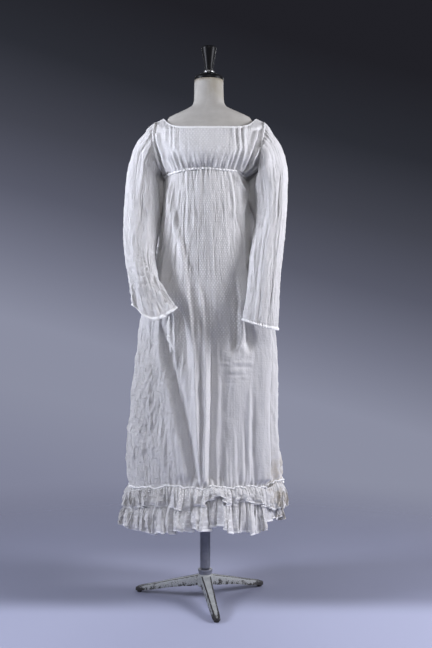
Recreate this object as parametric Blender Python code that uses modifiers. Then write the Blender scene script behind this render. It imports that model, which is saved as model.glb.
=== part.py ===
"""Regency muslin gown on a limbless dress form with a cast tripod foot.

Metres, +Z up. The origin is on the floor, on the axis of the pole. The wearer
faces -Y, so the wearer's right hand is at -X and the left hand at +X.

The cloth is cut as a maker cuts it: a gathered bodice front, two side pieces,
two backs that meet at the centre back, a skirt in a front and a back, two
flounces under a corded seam, and two long sleeves. Every piece is a thin wall
lofted through sections that are worked out from the tables below, and
neighbouring pieces stop SEAM apart.
"""

import math

import bmesh
import bpy
import numpy as np

# ---------------------------------------------------------------- sizes (metres)
CLOTH = 0.0016  # wall of every cloth piece
TAPE = 0.0010  # wall of the neck tape
SEAM = 0.0003  # gap between pieces that are sewn or laid together
RIM = 0.0006  # half the gap where two walls meet at an angle

WAIST_Z = 1.4335  # high waist seam
SKIRT_END_Z = 0.302  # lower edge of the skirt, behind the lower flounce
CORD_Z = 0.3940  # corded seam above the flounces
SIDE_SEAM = 70.0, 110.0  # degrees from centre front: edges of the bodice side piece
SKIRT_SEAM = 92.0  # degrees from centre front: side seam of the skirt

NECK_TAPE_WIDTH = 0.0072
WAIST_PIPING_R = 0.0029
HEM_CORD_R = 0.0024
TIE_R = 0.0016

FORM_X = 0.0160  # the shoulders stand this far to the wearer's left of the pole
POLE_R = 0.0171
POLE_FOOT_Z = 0.1015
FORM_END_Z = 0.842

TRIPOD_REACH = 0.2585  # pole axis to the end of a leg
TRIPOD_TURN = 9.0  # degrees that the front leg is turned to the wearer's left

BODICE_COLUMNS = 20
BACK_COLUMNS = 8
SKIRT_COLUMNS = 38
SKIRT_ROWS = 9
FLOUNCE_PLEATS = 30
SLEEVE_COLUMNS = 16


# ---------------------------------------------------------------- tables
def table(names, rows):
    """Named columns of a short table."""
    return {n: np.array(c, float) for n, c in zip(names, zip(*rows))}


# Horizontal sections of the dress form: half width, and how far it stands in
# front of and behind x = shift_x, y = 0. "round" is 2 for an ellipse.
FORM = table(
    ("z", "half", "front", "back", "shift_x", "round"),
    [
        (0.842, 0.148, 0.082, 0.098, 0.002, 2.2),
        (0.862, 0.157, 0.088, 0.104, 0.002, 2.2),
        (0.950, 0.163, 0.094, 0.110, 0.002, 2.2),
        (1.060, 0.157, 0.095, 0.108, 0.002, 2.2),
        (1.170, 0.137, 0.090, 0.092, 0.002, 2.1),
        (1.270, 0.118, 0.084, 0.078, 0.002, 2.0),
        (1.360, 0.116, 0.088, 0.084, 0.002, 2.0),
        (1.425, 0.1215, 0.097, 0.0885, 0.002, 2.0),
        (1.470, 0.131, 0.111, 0.0925, 0.008, 2.0),
        (1.500, 0.145, 0.117, 0.0955, 0.012, 2.0),
        (1.530, 0.159, 0.109, 0.0965, 0.015, 2.0),
        (1.560, 0.167, 0.094, 0.0945, 0.015, 1.85),
        (1.590, 0.166, 0.078, 0.089, 0.015, 1.70),
        (1.606, 0.158, 0.069, 0.084, 0.015, 1.62),
        (1.618, 0.146, 0.065, 0.079, 0.015, 1.62),
        (1.632, 0.136, 0.067, 0.076, 0.014, 1.8),
        (1.644, 0.1100, 0.063, 0.072, 0.014, 1.85),
        (1.656, 0.0820, 0.058, 0.066, 0.013, 1.9),
        (1.667, 0.0600, 0.053, 0.059, 0.0125, 2.0),
        (1.680, 0.0525, 0.0505, 0.0545, 0.0125, 2.0),
        (1.697, 0.0500, 0.0495, 0.0510, 0.0125, 2.0),
        (1.756, 0.0490, 0.0490, 0.0490, 0.0125, 2.0),
    ],
)

# Horizontal sections of the skirt: where its sides, front and back stand, and
# the depth at which it is widest.
SKIRT = table(
    ("z", "right", "left", "front", "back", "middle"),
    [
        (0.300, -0.2530, 0.2460, -0.117, 0.226, 0.045),
        (0.375, -0.2560, 0.2550, -0.118, 0.231, 0.045),
        (0.420, -0.2600, 0.2560, -0.118, 0.231, 0.045),
        (0.506, -0.2616, 0.2520, -0.117, 0.226, 0.042),
        (0.589, -0.2552, 0.2490, -0.116, 0.222, 0.040),
        (0.671, -0.2478, 0.2500, -0.116, 0.217, 0.037),
        (0.754, -0.2389, 0.2480, -0.116, 0.211, 0.034),
        (0.836, -0.2290, 0.2420, -0.116, 0.204, 0.030),
        (0.980, -0.2125, 0.2240, -0.116, 0.190, 0.022),
        (1.100, -0.1820, 0.1860, -0.116, 0.172, 0.016),
        (1.220, -0.1570, 0.1590, -0.115, 0.150, 0.010),
        (1.330, -0.1420, 0.1430, -0.112, 0.124, 0.004),
        (1.400, -0.1370, 0.1370, -0.107, 0.105, 0.000),
        (1.4335, -0.1345, 0.1335, -0.104, 0.097, 0.000),
    ],
)

# Large folds of the skirt: the angle from centre front (positive to the
# wearer's left) at the top, the middle and the foot of the fold, where it
# starts and ends, its half width, and how far it stands out (+) or in (-).
FOLDS = table(
    ("top", "mid", "low", "z_top", "z_low", "width", "out"),
    [
        (-42.0, -13.0, -6.0, 1.32, 0.40, 0.022, 0.0050),
        (-12.0, -4.0, -1.5, 1.16, 0.40, 0.015, 0.0045),
        (-46.0, -34.0, -11.0, 0.99, 0.40, 0.026, -0.0060),
        (-48.0, -41.0, -33.0, 1.05, 0.55, 0.018, 0.0050),
        (3.0, 5.0, 8.0, 1.10, 0.40, 0.024, -0.0060),
        (26.0, 27.0, 30.0, 0.90, 0.42, 0.030, 0.0035),
        (60.0, 56.0, 51.0, 1.20, 0.40, 0.012, -0.0070),
        (68.0, 66.0, 62.0, 1.20, 0.40, 0.018, 0.0055),
        (-66.0, -64.0, -60.0, 1.30, 0.42, 0.024, -0.0060),
        (84.0, 86.0, 88.0, 1.35, 0.42, 0.022, -0.0055),
        (-88.0, -90.0, -93.0, 1.35, 0.42, 0.022, -0.0050),
        (122.0, 120.0, 118.0, 1.38, 0.42, 0.024, -0.0070),
        (139.0, 138.0, 137.0, 1.40, 0.42, 0.020, 0.0065),
        (154.0, 153.0, 152.0, 1.41, 0.42, 0.020, -0.0080),
        (170.0, 168.0, 167.0, 1.41, 0.42, 0.020, 0.0075),
        (-174.0, -176.0, -178.0, 1.41, 0.42, 0.018, -0.0080),
        (-160.0, -161.0, -163.0, 1.41, 0.42, 0.020, 0.0070),
        (-144.0, -145.0, -147.0, 1.40, 0.42, 0.021, -0.0080),
        (-126.0, -127.0, -129.0, 1.38, 0.42, 0.024, 0.0065),
        (-109.0, -110.0, -111.0, 1.36, 0.42, 0.022, -0.0060),
    ],
)

# Flounces, seen at some angles from centre front: how far the foot of each
# stands off the skirt.
FLARE = table(
    ("angle", "upper", "lower"),
    [
        (-180.0, 0.020, 0.032),
        (-135.0, 0.017, 0.029),
        (-95.0, 0.007, 0.021),
        (-60.0, 0.016, 0.028),
        (0.0, 0.018, 0.032),
        (55.0, 0.018, 0.028),
        (88.0, 0.019, 0.004),
        (120.0, 0.018, 0.020),
        (150.0, 0.018, 0.028),
        (180.0, 0.020, 0.032),
    ],
)
# Each flounce from its sewn head to its hem: height, share of the flare that
# it has reached, and half depth of its gathers.
UPPER = table(
    ("z", "flare", "gather"),
    [(0.3905, 0.0, 0.0004), (0.3700, 0.55, 0.0022), (0.3380, 1.0, 0.0040)],
)
LOWER = table(
    ("z", "flare", "gather"),
    [(0.3480, 0.0, 0.0004), (0.3200, 0.42, 0.0030), (0.2590, 1.0, 0.0062)],
)

# Bodice, from the waist row to the top row: height and depth at centre front
# and at centre back, and how square the row is in plan and in height.
BODICE = table(
    ("z_front", "front", "z_back", "back", "square", "rise"),
    [
        (1.4335, -0.1040, 1.4335, 0.0970, 2.0, 2.0),
        (1.4580, -0.1215, 1.4580, 0.1010, 2.2, 2.0),
        (1.4840, -0.1305, 1.4830, 0.1040, 2.4, 2.0),
        (1.5060, -0.1300, 1.5060, 0.1060, 2.5, 2.2),
        (1.5260, -0.1235, 1.5280, 0.1070, 2.6, 2.6),
        (1.5440, -0.1155, 1.5490, 0.1065, 2.7, 3.0),
        (1.5590, -0.1090, 1.5680, 0.1050, 2.9, 3.4),
        (1.5710, -0.1035, 1.5850, 0.1020, 3.4, 4.2),
        (1.5795, -0.0995, 1.6000, 0.0980, 4.5, 6.0),
    ],
)
# Behind the gathered front, the cloth falls back in a trough beside each arm.
TROUGH_AT, TROUGH_WIDTH = 0.925, 0.045  # share of the row's half width
TROUGH_DEEP = (0.0, 0.004, 0.008, 0.010, 0.010, 0.008, 0.005, 0.002, 0.0)  # one for each row
NECK_CORNER = 0.845  # share of the top row's half width at which the neckline meets the shoulder
SHOULDER_PEAK = (0.1560, 0.0020, 1.6275)  # the same corner: across from FORM_X, depth, height

# Armhole: centre, half height, and half depth in front and behind.
ARM_CENTRE = (0.1745, 0.0020, 1.5345)
ARM_LEAN = 0.0085  # how much further out the top is than the middle
ARM_HEIGHT, ARM_FRONT, ARM_BACK, ARM_BOW = 0.0790, 0.0520, 0.0560, 0.0120

# Sleeves from the armhole to the hem: outer and inner edge of the sleeve seen
# from the front, depth of its middle, its half depth, and how far the front
# of the row hangs below its middle.
SLEEVE_NAMES = ("out_x", "out_z", "in_x", "in_z", "y", "deep", "dip")
SLEEVE_RIGHT = table(
    SLEEVE_NAMES,
    [
        (-0.2110, 1.5670, -0.1650, 1.4280, 0.000, 0.063, 0.0),
        (-0.2385, 1.5250, -0.1600, 1.3990, -0.003, 0.066, 0.0),
        (-0.2560, 1.4640, -0.1550, 1.3560, -0.010, 0.066, 0.0),
        (-0.2655, 1.3996, -0.1530, 1.3060, -0.022, 0.062, 0.0),
        (-0.2704, 1.3200, -0.1550, 1.2480, -0.040, 0.056, 0.0),
        (-0.2698, 1.2377, -0.1611, 1.1912, -0.062, 0.050, 0.0),
        (-0.2635, 1.1700, -0.1640, 1.1420, -0.084, 0.044, 0.0),
        (-0.2530, 1.1080, -0.1570, 1.0960, -0.107, 0.038, 0.0),
        (-0.2420, 1.0480, -0.1320, 1.0420, -0.130, 0.031, 0.006),
        (-0.2326, 0.9925, -0.0900, 0.9820, -0.152, 0.024, 0.034),
    ],
)
SLEEVE_LEFT = table(
    SLEEVE_NAMES,
    [
        (0.2410, 1.5670, 0.1880, 1.4350, 0.000, 0.063, 0.0),
        (0.2660, 1.5230, 0.1800, 1.4030, -0.003, 0.066, 0.0),
        (0.2815, 1.4500, 0.1735, 1.3500, -0.011, 0.066, 0.0),
        (0.2805, 1.3850, 0.1680, 1.3020, -0.022, 0.062, 0.0),
        (0.2770, 1.3100, 0.1655, 1.2560, -0.040, 0.056, 0.0),
        (0.2692, 1.2300, 0.1580, 1.2040, -0.062, 0.051, 0.0),
        (0.2604, 1.1600, 0.1500, 1.1480, -0.084, 0.045, 0.0),
        (0.2514, 1.0900, 0.1450, 1.0820, -0.106, 0.039, 0.0),
        (0.2458, 1.0150, 0.1370, 1.0140, -0.128, 0.033, 0.002),
        (0.2408, 0.9120, 0.1224, 0.9440, -0.148, 0.026, 0.005),
    ],
)

# The tie at the right cuff: the hanging tape, then two free ends below a knot.
TIE = table(
    ("x", "y", "z"),
    [
        (-0.1140, -0.1730, 0.9560),
        (-0.1150, -0.1745, 0.9440),
        (-0.1163, -0.1740, 0.9300),
        (-0.1165, -0.1720, 0.9120),
        (-0.1160, -0.1690, 0.8985),
    ],
)
TIE_KNOT = (-0.1160, -0.1680, 0.8925)
TIE_END_A = table(
    ("x", "y", "z"),
    [(-0.1134, -0.1670, 0.8868), (-0.1112, -0.1655, 0.8720), (-0.1090, -0.1635, 0.8560), (-0.1078, -0.1600, 0.8420)],
)
TIE_END_B = table(
    ("x", "y", "z"),
    [(-0.1184, -0.1680, 0.8868), (-0.1120, -0.1722, 0.8745), (-0.1020, -0.1742, 0.8580), (-0.0950, -0.1715, 0.8430)],
)

# Turned pieces at the neck, each from its top down: radius and height.
KNOB = table(
    ("r", "z"),
    [
        (0.0, 1.8765), (0.0180, 1.8762), (0.0240, 1.8748), (0.0257, 1.8712), (0.0252, 1.8660),
        (0.0215, 1.8480), (0.0175, 1.8280), (0.0142, 1.8100), (0.0128, 1.7965), (0.0, 1.7965),
    ],
)
RING = table(
    ("r", "z"),
    [(0.0, 1.7962), (0.0130, 1.7962), (0.0166, 1.7940), (0.0180, 1.7905), (0.0166, 1.7870), (0.0130, 1.7850), (0.0, 1.7850)],
)
CAP = table(
    ("r", "z"),
    [(0.0, 1.7847), (0.0150, 1.7847), (0.0300, 1.7805), (0.0440, 1.7730), (0.0494, 1.7680), (0.0498, 1.7620), (0.0485, 1.7575), (0.0, 1.7575)],
)
COLLAR = table(
    ("r", "z"),
    [(0.0236, 0.1020), (0.0242, 0.1005), (0.0242, 0.0955), (0.0222, 0.0935), (0.0222, 0.0860), (0.0, 0.0860), (0.0, 0.1009), (0.0232, 0.1009)],
)

# One leg of the cast foot, from the hub outwards: distance from the axis, top
# height, depth of the casting, half width at the top and at the bottom.
LEG = table(
    ("reach", "top", "deep", "half_top", "half_low"),
    [
        (0.0100, 0.0855, 0.0330, 0.0150, 0.0185),
        (0.0300, 0.0800, 0.0330, 0.0150, 0.0185),
        (0.0700, 0.0690, 0.0285, 0.0135, 0.0170),
        (0.1250, 0.0545, 0.0235, 0.0120, 0.0155),
        (0.1850, 0.0375, 0.0205, 0.0105, 0.0140),
        (0.2400, 0.0235, 0.0165, 0.0095, 0.0125),
        (0.2585, 0.0180, 0.0125, 0.0085, 0.0115),
    ],
)
PAD_HEIGHT, PAD_R, PAD_REACH = 0.0052, 0.0085, 0.2460

COLOURS = table(
    ("red", "green", "blue", "rough", "metal"),
    [
        (0.80, 0.80, 0.78, 0.90, 0.0),
        (0.88, 0.88, 0.87, 0.85, 0.0),
        (0.66, 0.63, 0.55, 0.90, 0.0),
        (0.010, 0.010, 0.011, 0.12, 0.0),
        (0.45, 0.45, 0.46, 0.30, 1.0),
        (0.085, 0.095, 0.115, 0.50, 0.6),
        (0.015, 0.015, 0.015, 0.80, 0.0),
    ],
)
MUSLIN, WHITE_TAPE, CANVAS, BLACK_LACQUER, NICKEL, GREY_PAINT, BLACK_RUBBER = range(7)
FINISHES = ("muslin", "white_tape", "canvas", "black_lacquer", "nickel", "grey_paint", "black_rubber")


# ---------------------------------------------------------------- arithmetic
def through(x, y, at):
    """The smooth curve through the rows of a table that never overshoots them, read at `at`."""
    at = np.clip(np.asarray(at, float), min(x[0], x[-1]), max(x[0], x[-1]))
    if x[0] > x[-1]:
        x, y = x[::-1], y[::-1]
    step = np.diff(x)
    slope = np.diff(y) / step
    m = np.zeros(len(y))
    a, b = slope[:-1], slope[1:]
    same = a * b > 0
    w1, w2 = 2 * step[1:] + step[:-1], step[1:] + 2 * step[:-1]
    m[1:-1][same] = (w1 + w2)[same] / (w1[same] / a[same] + w2[same] / b[same])
    m[0], m[-1] = slope[0], slope[-1]
    i = np.clip(np.searchsorted(x, at) - 1, 0, len(step) - 1)
    t = (at - x[i]) / step[i]
    return (
        (1 + 2 * t) * (1 - t) ** 2 * y[i]
        + t * (1 - t) ** 2 * step[i] * m[i]
        + t * t * (3 - 2 * t) * y[i + 1]
        + t * t * (t - 1) * step[i] * m[i + 1]
    )


def ease(low, high, x):
    """0 below low, 1 above high, smooth between."""
    t = np.clip((np.asarray(x, float) - low) / (high - low), 0, 1)
    return t * t * (3 - 2 * t)


def power(x, n):
    return np.sign(x) * np.abs(x) ** n


def stack(*columns):
    return np.stack(np.broadcast_arrays(*columns), axis=-1)


# ---------------------------------------------------------------- surfaces
def skirt_plain(degrees, z):
    """The skirt without its folds."""
    a = np.radians(degrees)
    right, left, front, back, middle = (
        through(SKIRT["z"], SKIRT[n], z) for n in ("right", "left", "front", "back", "middle")
    )
    x = (left + right) / 2 + (left - right) / 2 * np.sin(a)
    y = middle - np.cos(a) * np.where(np.cos(a) > 0, middle - front, back - middle)
    return stack(x, y, z)


def outward(degrees, z):
    """Level direction that leaves the skirt at right angles."""
    ahead, behind = skirt_plain(degrees + 0.5, z), skirt_plain(degrees - 0.5, z)
    run = ahead - behind
    run = run / np.linalg.norm(run, axis=-1, keepdims=True)
    return stack(run[..., 1], -run[..., 0], 0 * run[..., 0])


def fold_height(degrees, z):
    """Sum of the large folds, which die out at the waist and at the corded seam."""
    reach = np.linalg.norm(skirt_plain(degrees + 0.5, z) - skirt_plain(degrees - 0.5, z), axis=-1)
    total = np.zeros(np.broadcast(degrees, z).shape)
    for i in range(len(FOLDS["top"])):
        top, low = FOLDS["z_top"][i], FOLDS["z_low"][i]
        line = through(
            np.array([low, (top + low) / 2, top]),
            np.array([FOLDS["low"][i], FOLDS["mid"][i], FOLDS["top"][i]]),
            z,
        )
        off = (degrees - line + 180.0) % 360.0 - 180.0
        ends = ease(low - 0.02, low + 0.10, z) * (1 - ease(top - 0.12, top + 0.03, z))
        total = total + FOLDS["out"][i] * np.exp(-((off * reach / FOLDS["width"][i]) ** 2)) * ends
    return total * ease(CORD_Z + 0.02, CORD_Z + 0.14, z)


def skirt_surface(degrees, z, off=0.0):
    """A point on the skirt, moved out by off."""
    height = fold_height(degrees, z) + off
    return skirt_plain(degrees, z) + outward(degrees, z) * height[..., None]


def flounce_surface(rows, flare, degrees, k, off):
    """A gathered flounce: row k of its table, at the given angles."""
    z = np.full(np.shape(degrees), rows["z"][k])
    wave = np.sin(np.radians(degrees) * FLOUNCE_PLEATS + 1.9 * np.sin(np.radians(degrees) * 3.0))
    wide = through(FLARE["angle"], FLARE[flare], degrees)
    height = off + rows["flare"][k] * wide + rows["gather"][k] * wave
    return skirt_plain(degrees, z) + outward(degrees, z) * height[..., None]


def armhole(side, turn):
    """A point on the armhole. turn is 0 at the shoulder, 90 at the front, 180 under the arm."""
    t = np.radians(turn)
    deep = np.where(np.sin(t) > 0, ARM_FRONT, ARM_BACK)
    across = ARM_CENTRE[0] + ARM_LEAN * np.cos(t) + ARM_BOW * np.sin(t) ** 2
    return stack(
        FORM_X + side * across, ARM_CENTRE[1] - deep * np.sin(t), ARM_CENTRE[2] + ARM_HEIGHT * np.cos(t)
    )


def bodice_edge(side, front):
    """Side edge of a bodice front or back: from the waist up to the armhole, then up the armhole."""
    turn = 1.0 if front else -1.0
    low = skirt_plain(np.array(side * SIDE_SEAM[0 if front else 1]), np.array(WAIST_Z + RIM))
    ring = armhole(side, turn * np.arange(6, -1, -1) * 22.5)
    middle = (low + ring[0]) / 2 + np.array([side * 0.002, 0.0, 0.0])
    return np.vstack([low, middle, ring])


def top_row(share, side, front):
    """Neckline, then shoulder seam, of one half of the front or the back."""
    peak = np.array(SHOULDER_PEAK) + np.array([0.0, -RIM if front else RIM, 0.0])
    tip = armhole(side, 0.0) + np.array([0.0, -RIM if front else RIM, 0.0])
    z0 = BODICE["z_front" if front else "z_back"][-1]
    y0 = BODICE["front" if front else "back"][-1]
    n = np.clip(share / NECK_CORNER, 0, 1)
    s = np.clip((share - NECK_CORNER) / (1 - NECK_CORNER), 0, 1)
    rise = BODICE["rise"][-1] if front else 3.0
    neck = stack(
        FORM_X * ease(0.0, 0.5, n) + side * n * peak[0] + FORM_X * (1 - ease(0.0, 0.5, n)),
        y0 + (peak[1] - y0) * n ** BODICE["square"][-1],
        z0 + (peak[2] - z0) * n**rise,
    )
    corner = np.array([FORM_X + side * peak[0], peak[1], peak[2]])
    return np.where((share <= NECK_CORNER)[..., None], neck, corner + (tip - corner) * s[..., None])


def bodice_half(side, front, share):
    """Rows from the waist to the top, each a curve from the centre (share 0) to the side edge (share 1)."""
    edge = bodice_edge(side, front)
    lift = ease(0, 4, np.arange(len(edge)))
    rows = []
    for k in range(len(edge) - 1):
        z0 = BODICE["z_front" if front else "z_back"][k] + (RIM if k == 0 else 0.0)
        y0 = BODICE["front" if front else "back"][k]
        if k == 0:
            first = SIDE_SEAM[0] if front else 180.0 - SIDE_SEAM[1]
            degrees = side * (first * share if front else 180.0 - first * share)
            rows.append(skirt_plain(degrees, np.full(share.shape, z0)))
            continue
        x0 = FORM_X * lift[k]
        sink = TROUGH_DEEP[k] * np.exp(-(((share - TROUGH_AT) / TROUGH_WIDTH) ** 2)) * (share < 0.999) if front else 0 * share
        rows.append(
            stack(
                x0 + (edge[k, 0] - x0) * share - side * 0.4 * sink,
                y0 + (edge[k, 1] - y0) * share ** BODICE["square"][k] + sink,
                z0 + (edge[k, 2] - z0) * share ** BODICE["rise"][k],
            )
        )
    rows.append(top_row(share, side, front))
    return np.array(rows)


def bodice_front_grid():
    """The whole gathered front, from the wearer's right to the left."""
    half = np.concatenate([np.linspace(0, NECK_CORNER, BODICE_COLUMNS // 2), [(1 + NECK_CORNER) / 2, 1.0]])
    right = bodice_half(-1, True, half)[:, ::-1]
    left = bodice_half(1, True, half)
    return np.concatenate([right, left[:, 1:]], axis=1)


def bodice_back_grid(side):
    """One back. Its centre edge stops short of the other's."""
    half = np.concatenate([np.linspace(0, NECK_CORNER, BACK_COLUMNS), [1.0]])
    grid = bodice_half(side, False, half)
    grid[:, 0, 0] += side * RIM
    return grid


def bodice_side_grid(side):
    """The piece under the arm, between the front and the back."""
    degrees = np.linspace(SIDE_SEAM[0], SIDE_SEAM[1], 5)
    low = skirt_plain(side * degrees, np.full(5, WAIST_Z + RIM))
    high = armhole(side, 22.5 * np.arange(6, 11))
    middle = (low + high) / 2 + np.array([side * 0.002, 0.0, 0.0])
    grid = np.array([low, middle, high])
    for edge, beside in ((0, 1), (-1, -2)):
        run = grid[:, beside] - grid[:, edge]
        grid[:, edge] += run / np.linalg.norm(run, axis=-1, keepdims=True) * 2.6 * SEAM
    return grid


def sleeve_grid(side, rows):
    """A sleeve from just outside the armhole to its hem, as rings of points."""
    turn = np.arange(SLEEVE_COLUMNS) * 360.0 / SLEEVE_COLUMNS
    t = np.radians(turn)
    clear = SEAM + CLOTH / 2 + CLOTH * 0.35 * (1 - np.cos(t))
    start = armhole(side, turn) + stack(side * clear, 0 * t, 0 * t)
    rings = [start]
    for k in range(len(rows["out_x"])):
        outer = np.array([rows["out_x"][k], rows["y"][k], rows["out_z"][k]])
        inner = np.array([rows["in_x"][k], rows["y"][k], rows["in_z"][k]])
        ring = (outer + inner) / 2 + (outer - inner) / 2 * np.cos(t)[:, None]
        ring = ring + stack(0 * t, -rows["deep"][k] * np.sin(t), -rows["dip"][k] * np.clip(np.sin(t), -0.25, 1) * np.abs(np.sin(t)))
        rings.append(ring)
    return np.array(rings)


# ---------------------------------------------------------------- building
def material(kind):
    name = FINISHES[kind]
    found = bpy.data.materials.get(name)
    if found:
        return found
    made = bpy.data.materials.new(name)
    made.use_nodes = True
    shader = made.node_tree.nodes["Principled BSDF"]
    shader.inputs["Base Color"].default_value = (*(COLOURS[c][kind] for c in ("red", "green", "blue")), 1.0)
    shader.inputs["Roughness"].default_value = COLOURS["rough"][kind]
    shader.inputs["Metallic"].default_value = COLOURS["metal"][kind]
    return made


def add(name, mesh, kind, smooth=True):
    obj = bpy.data.objects.new(name, mesh)
    GOWN.objects.link(obj)
    obj.data.materials.append(material(kind))
    if smooth and hasattr(mesh, "shade_smooth"):
        mesh.shade_smooth()
    return obj


def loft(name, grid, kind, around=False, ends=False):
    """A surface through the rows of a grid of points, joined round if around, closed if ends."""
    rows, columns = grid.shape[:2]
    shape = bmesh.new()
    verts = [[shape.verts.new(p) for p in row] for row in grid]
    for r in range(rows - 1):
        for c in range(columns if around else columns - 1):
            d = (c + 1) % columns
            shape.faces.new((verts[r][c], verts[r][d], verts[r + 1][d], verts[r + 1][c]))
    if ends:
        shape.faces.new(verts[0][::-1])
        shape.faces.new(verts[-1])
    bmesh.ops.recalc_face_normals(shape, faces=shape.faces)
    mesh = bpy.data.meshes.new(name)
    shape.to_mesh(mesh)
    shape.free()
    return add(name, mesh, kind)


def cloth(name, grid, kind=MUSLIN, around=False, wall=CLOTH):
    """An open surface made into a wall, half of it on each side."""
    obj = loft(name, grid, kind, around)
    thick = obj.modifiers.new("Wall", "SOLIDIFY")
    thick.thickness = wall
    thick.offset = 0.0
    return obj


def tube(name, points, radius, kind, resolution, closed=False):
    """A round cord along a row of points."""
    curve = bpy.data.curves.new(name, "CURVE")
    curve.dimensions = "3D"
    curve.bevel_depth = radius
    curve.bevel_resolution = resolution
    curve.use_fill_caps = not closed
    line = curve.splines.new("POLY")
    line.points.add(len(points) - 1)
    for spot, place in zip(line.points, points):
        spot.co = (*place, 1.0)
    line.use_cyclic_u = closed
    obj = bpy.data.objects.new(name, curve)
    GOWN.objects.link(obj)
    curve.materials.append(material(kind))
    return obj


def turned(name, profile, steps, kind, place=(0.0, 0.0, 0.0)):
    """A profile turned about Z. It runs down its outer side."""
    shape = bmesh.new()
    verts = [shape.verts.new((r, 0.0, z)) for r, z in zip(profile["r"], profile["z"])]
    for a, b in zip(verts[:-1], verts[1:]):
        shape.edges.new((a, b))
    if profile["r"][0] > 0:
        shape.edges.new((verts[-1], verts[0]))
    mesh = bpy.data.meshes.new(name)
    shape.to_mesh(mesh)
    shape.free()
    obj = add(name, mesh, kind, smooth=False)
    obj.location = place
    spin = obj.modifiers.new("Turn", "SCREW")
    spin.steps = spin.render_steps = steps
    spin.use_merge_vertices = True
    spin.merge_threshold = 1e-5
    spin.use_smooth_shade = True
    return obj


def cylinder(name, radius, low, high, kind, place=(0.0, 0.0), sides=28):
    shape = bmesh.new()
    bmesh.ops.create_cone(shape, cap_ends=True, segments=sides, radius1=radius, radius2=radius, depth=high - low)
    mesh = bpy.data.meshes.new(name)
    shape.to_mesh(mesh)
    shape.free()
    obj = add(name, mesh, kind, smooth=False)
    obj.location = (*place, (low + high) / 2)
    return obj


def smooth_route(points, count):
    """Evenly spaced stations on the smooth curve through a table of points."""
    run = np.concatenate([[0.0], np.cumsum(np.linalg.norm(np.diff(points, axis=0), axis=1))])
    at = np.linspace(0.0, run[-1], count)
    return np.stack([through(run, points[:, i], at) for i in range(3)], axis=1)


def rows_of(tab):
    return np.stack([tab[n] for n in ("x", "y", "z")], axis=1)


# ---------------------------------------------------------------- the pieces
def make_form():
    heights = np.concatenate(
        [FORM["z"][:1], np.linspace(0.862, 1.40, 9), np.linspace(1.435, 1.600, 7), FORM["z"][FORM["z"] > 1.60]]
    )
    a = np.radians(np.arange(36) * 10.0)
    grid = []
    for z in heights:
        half, front, back, shift, round_ = (
            float(through(FORM["z"], FORM[n], z)) for n in ("half", "front", "back", "shift_x", "round")
        )
        deep = np.where(np.cos(a) > 0, front, back)
        grid.append(stack(shift + half * power(np.sin(a), 2 / round_), -deep * power(np.cos(a), 2 / round_), z))
    return loft("form_torso", np.array(grid), CANVAS, around=True, ends=True)


def make_bodice():
    cloth("bodice_front", bodice_front_grid())
    for side, hand in ((-1, "right"), (1, "left")):
        cloth("bodice_side_" + hand, bodice_side_grid(side))
        cloth("bodice_back_" + hand, bodice_back_grid(side))


def make_neck_tape():
    """A flat tape over the top edge: each station is the panel's own, moved out."""
    front, right, left = bodice_front_grid(), bodice_back_grid(-1), bodice_back_grid(1)
    across = (
        [(right, c) for c in range(BACK_COLUMNS - 1)]
        + [(None, -1)]
        + [(front, c) for c in range(3, front.shape[1] - 3)]
        + [(None, 1)]
        + [(left, c) for c in range(BACK_COLUMNS - 2, -1, -1)]
    )
    stations = []
    for grid, c in across:
        if grid is None:
            top = np.array([FORM_X + c * SHOULDER_PEAK[0], SHOULDER_PEAK[1], SHOULDER_PEAK[2]])
            down = armhole(c, 0.0) - top
            along = np.array([0.0, 1.0, 0.0])
        else:
            top = grid[-1, c]
            down = grid[-2, c] - top
            along = grid[-1, min(c + 1, grid.shape[1] - 1)] - grid[-1, max(c - 1, 0)]
        down = down / np.linalg.norm(down)
        out = np.cross(along, down)
        out = out / np.linalg.norm(out)
        away = top - np.array([FORM_X, 0.0, top[2] - 0.05])
        out = out if np.dot(out, away) > 0 else -out
        rest = top + out * (CLOTH / 2 + TAPE / 2 + (8 if grid is None else 4) * SEAM)
        stations.append([rest - down * 0.0008, rest + down * (NECK_TAPE_WIDTH - 0.0008)])
    cloth("neck_tape", np.array(stations), WHITE_TAPE, wall=TAPE)


def skirt_angles():
    """Column angles of the front and of the back, with the gap at the side seams."""
    gap = math.degrees(0.00022 / 0.14)
    front = np.linspace(-SKIRT_SEAM + gap, SKIRT_SEAM - gap, SKIRT_COLUMNS + 1)
    back = np.linspace(SKIRT_SEAM + gap, 360.0 - SKIRT_SEAM - gap, SKIRT_COLUMNS + 1)
    return front, (back + 180.0) % 360.0 - 180.0


def make_skirt():
    heights = np.append(np.linspace(WAIST_Z - RIM, CORD_Z, SKIRT_ROWS), SKIRT_END_Z)
    for name, degrees in zip(("skirt_front", "skirt_back"), skirt_angles()):
        d, z = np.meshgrid(degrees, heights)
        cloth(name, skirt_surface(d, z))


def ring_points(z, off):
    front, back = skirt_angles()
    degrees = np.concatenate([front[1:-1:2], [SKIRT_SEAM], back[1:-1:2], [-SKIRT_SEAM]])
    return skirt_surface(degrees, np.full(degrees.shape, z), off)


def make_trims():
    tube("waist_piping", ring_points(WAIST_Z - 0.002, CLOTH / 2 + WAIST_PIPING_R + 0.0007), WAIST_PIPING_R, WHITE_TAPE, 1, True)
    tube("hem_cord", ring_points(CORD_Z, CLOTH / 2 + HEM_CORD_R + 0.0011), HEM_CORD_R, WHITE_TAPE, 1, True)


def make_flounces():
    degrees = np.linspace(-180.0, 180.0, FLOUNCE_PLEATS * 3 + 1)[:-1]
    for name, rows, flare, off in (
        ("flounce_upper", UPPER, "upper", 0.0042),
        ("flounce_lower", LOWER, "lower", 0.0036),
    ):
        grid = np.array([flounce_surface(rows, flare, degrees, k, off) for k in range(len(rows["z"]))])
        cloth(name, grid, around=True)


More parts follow.
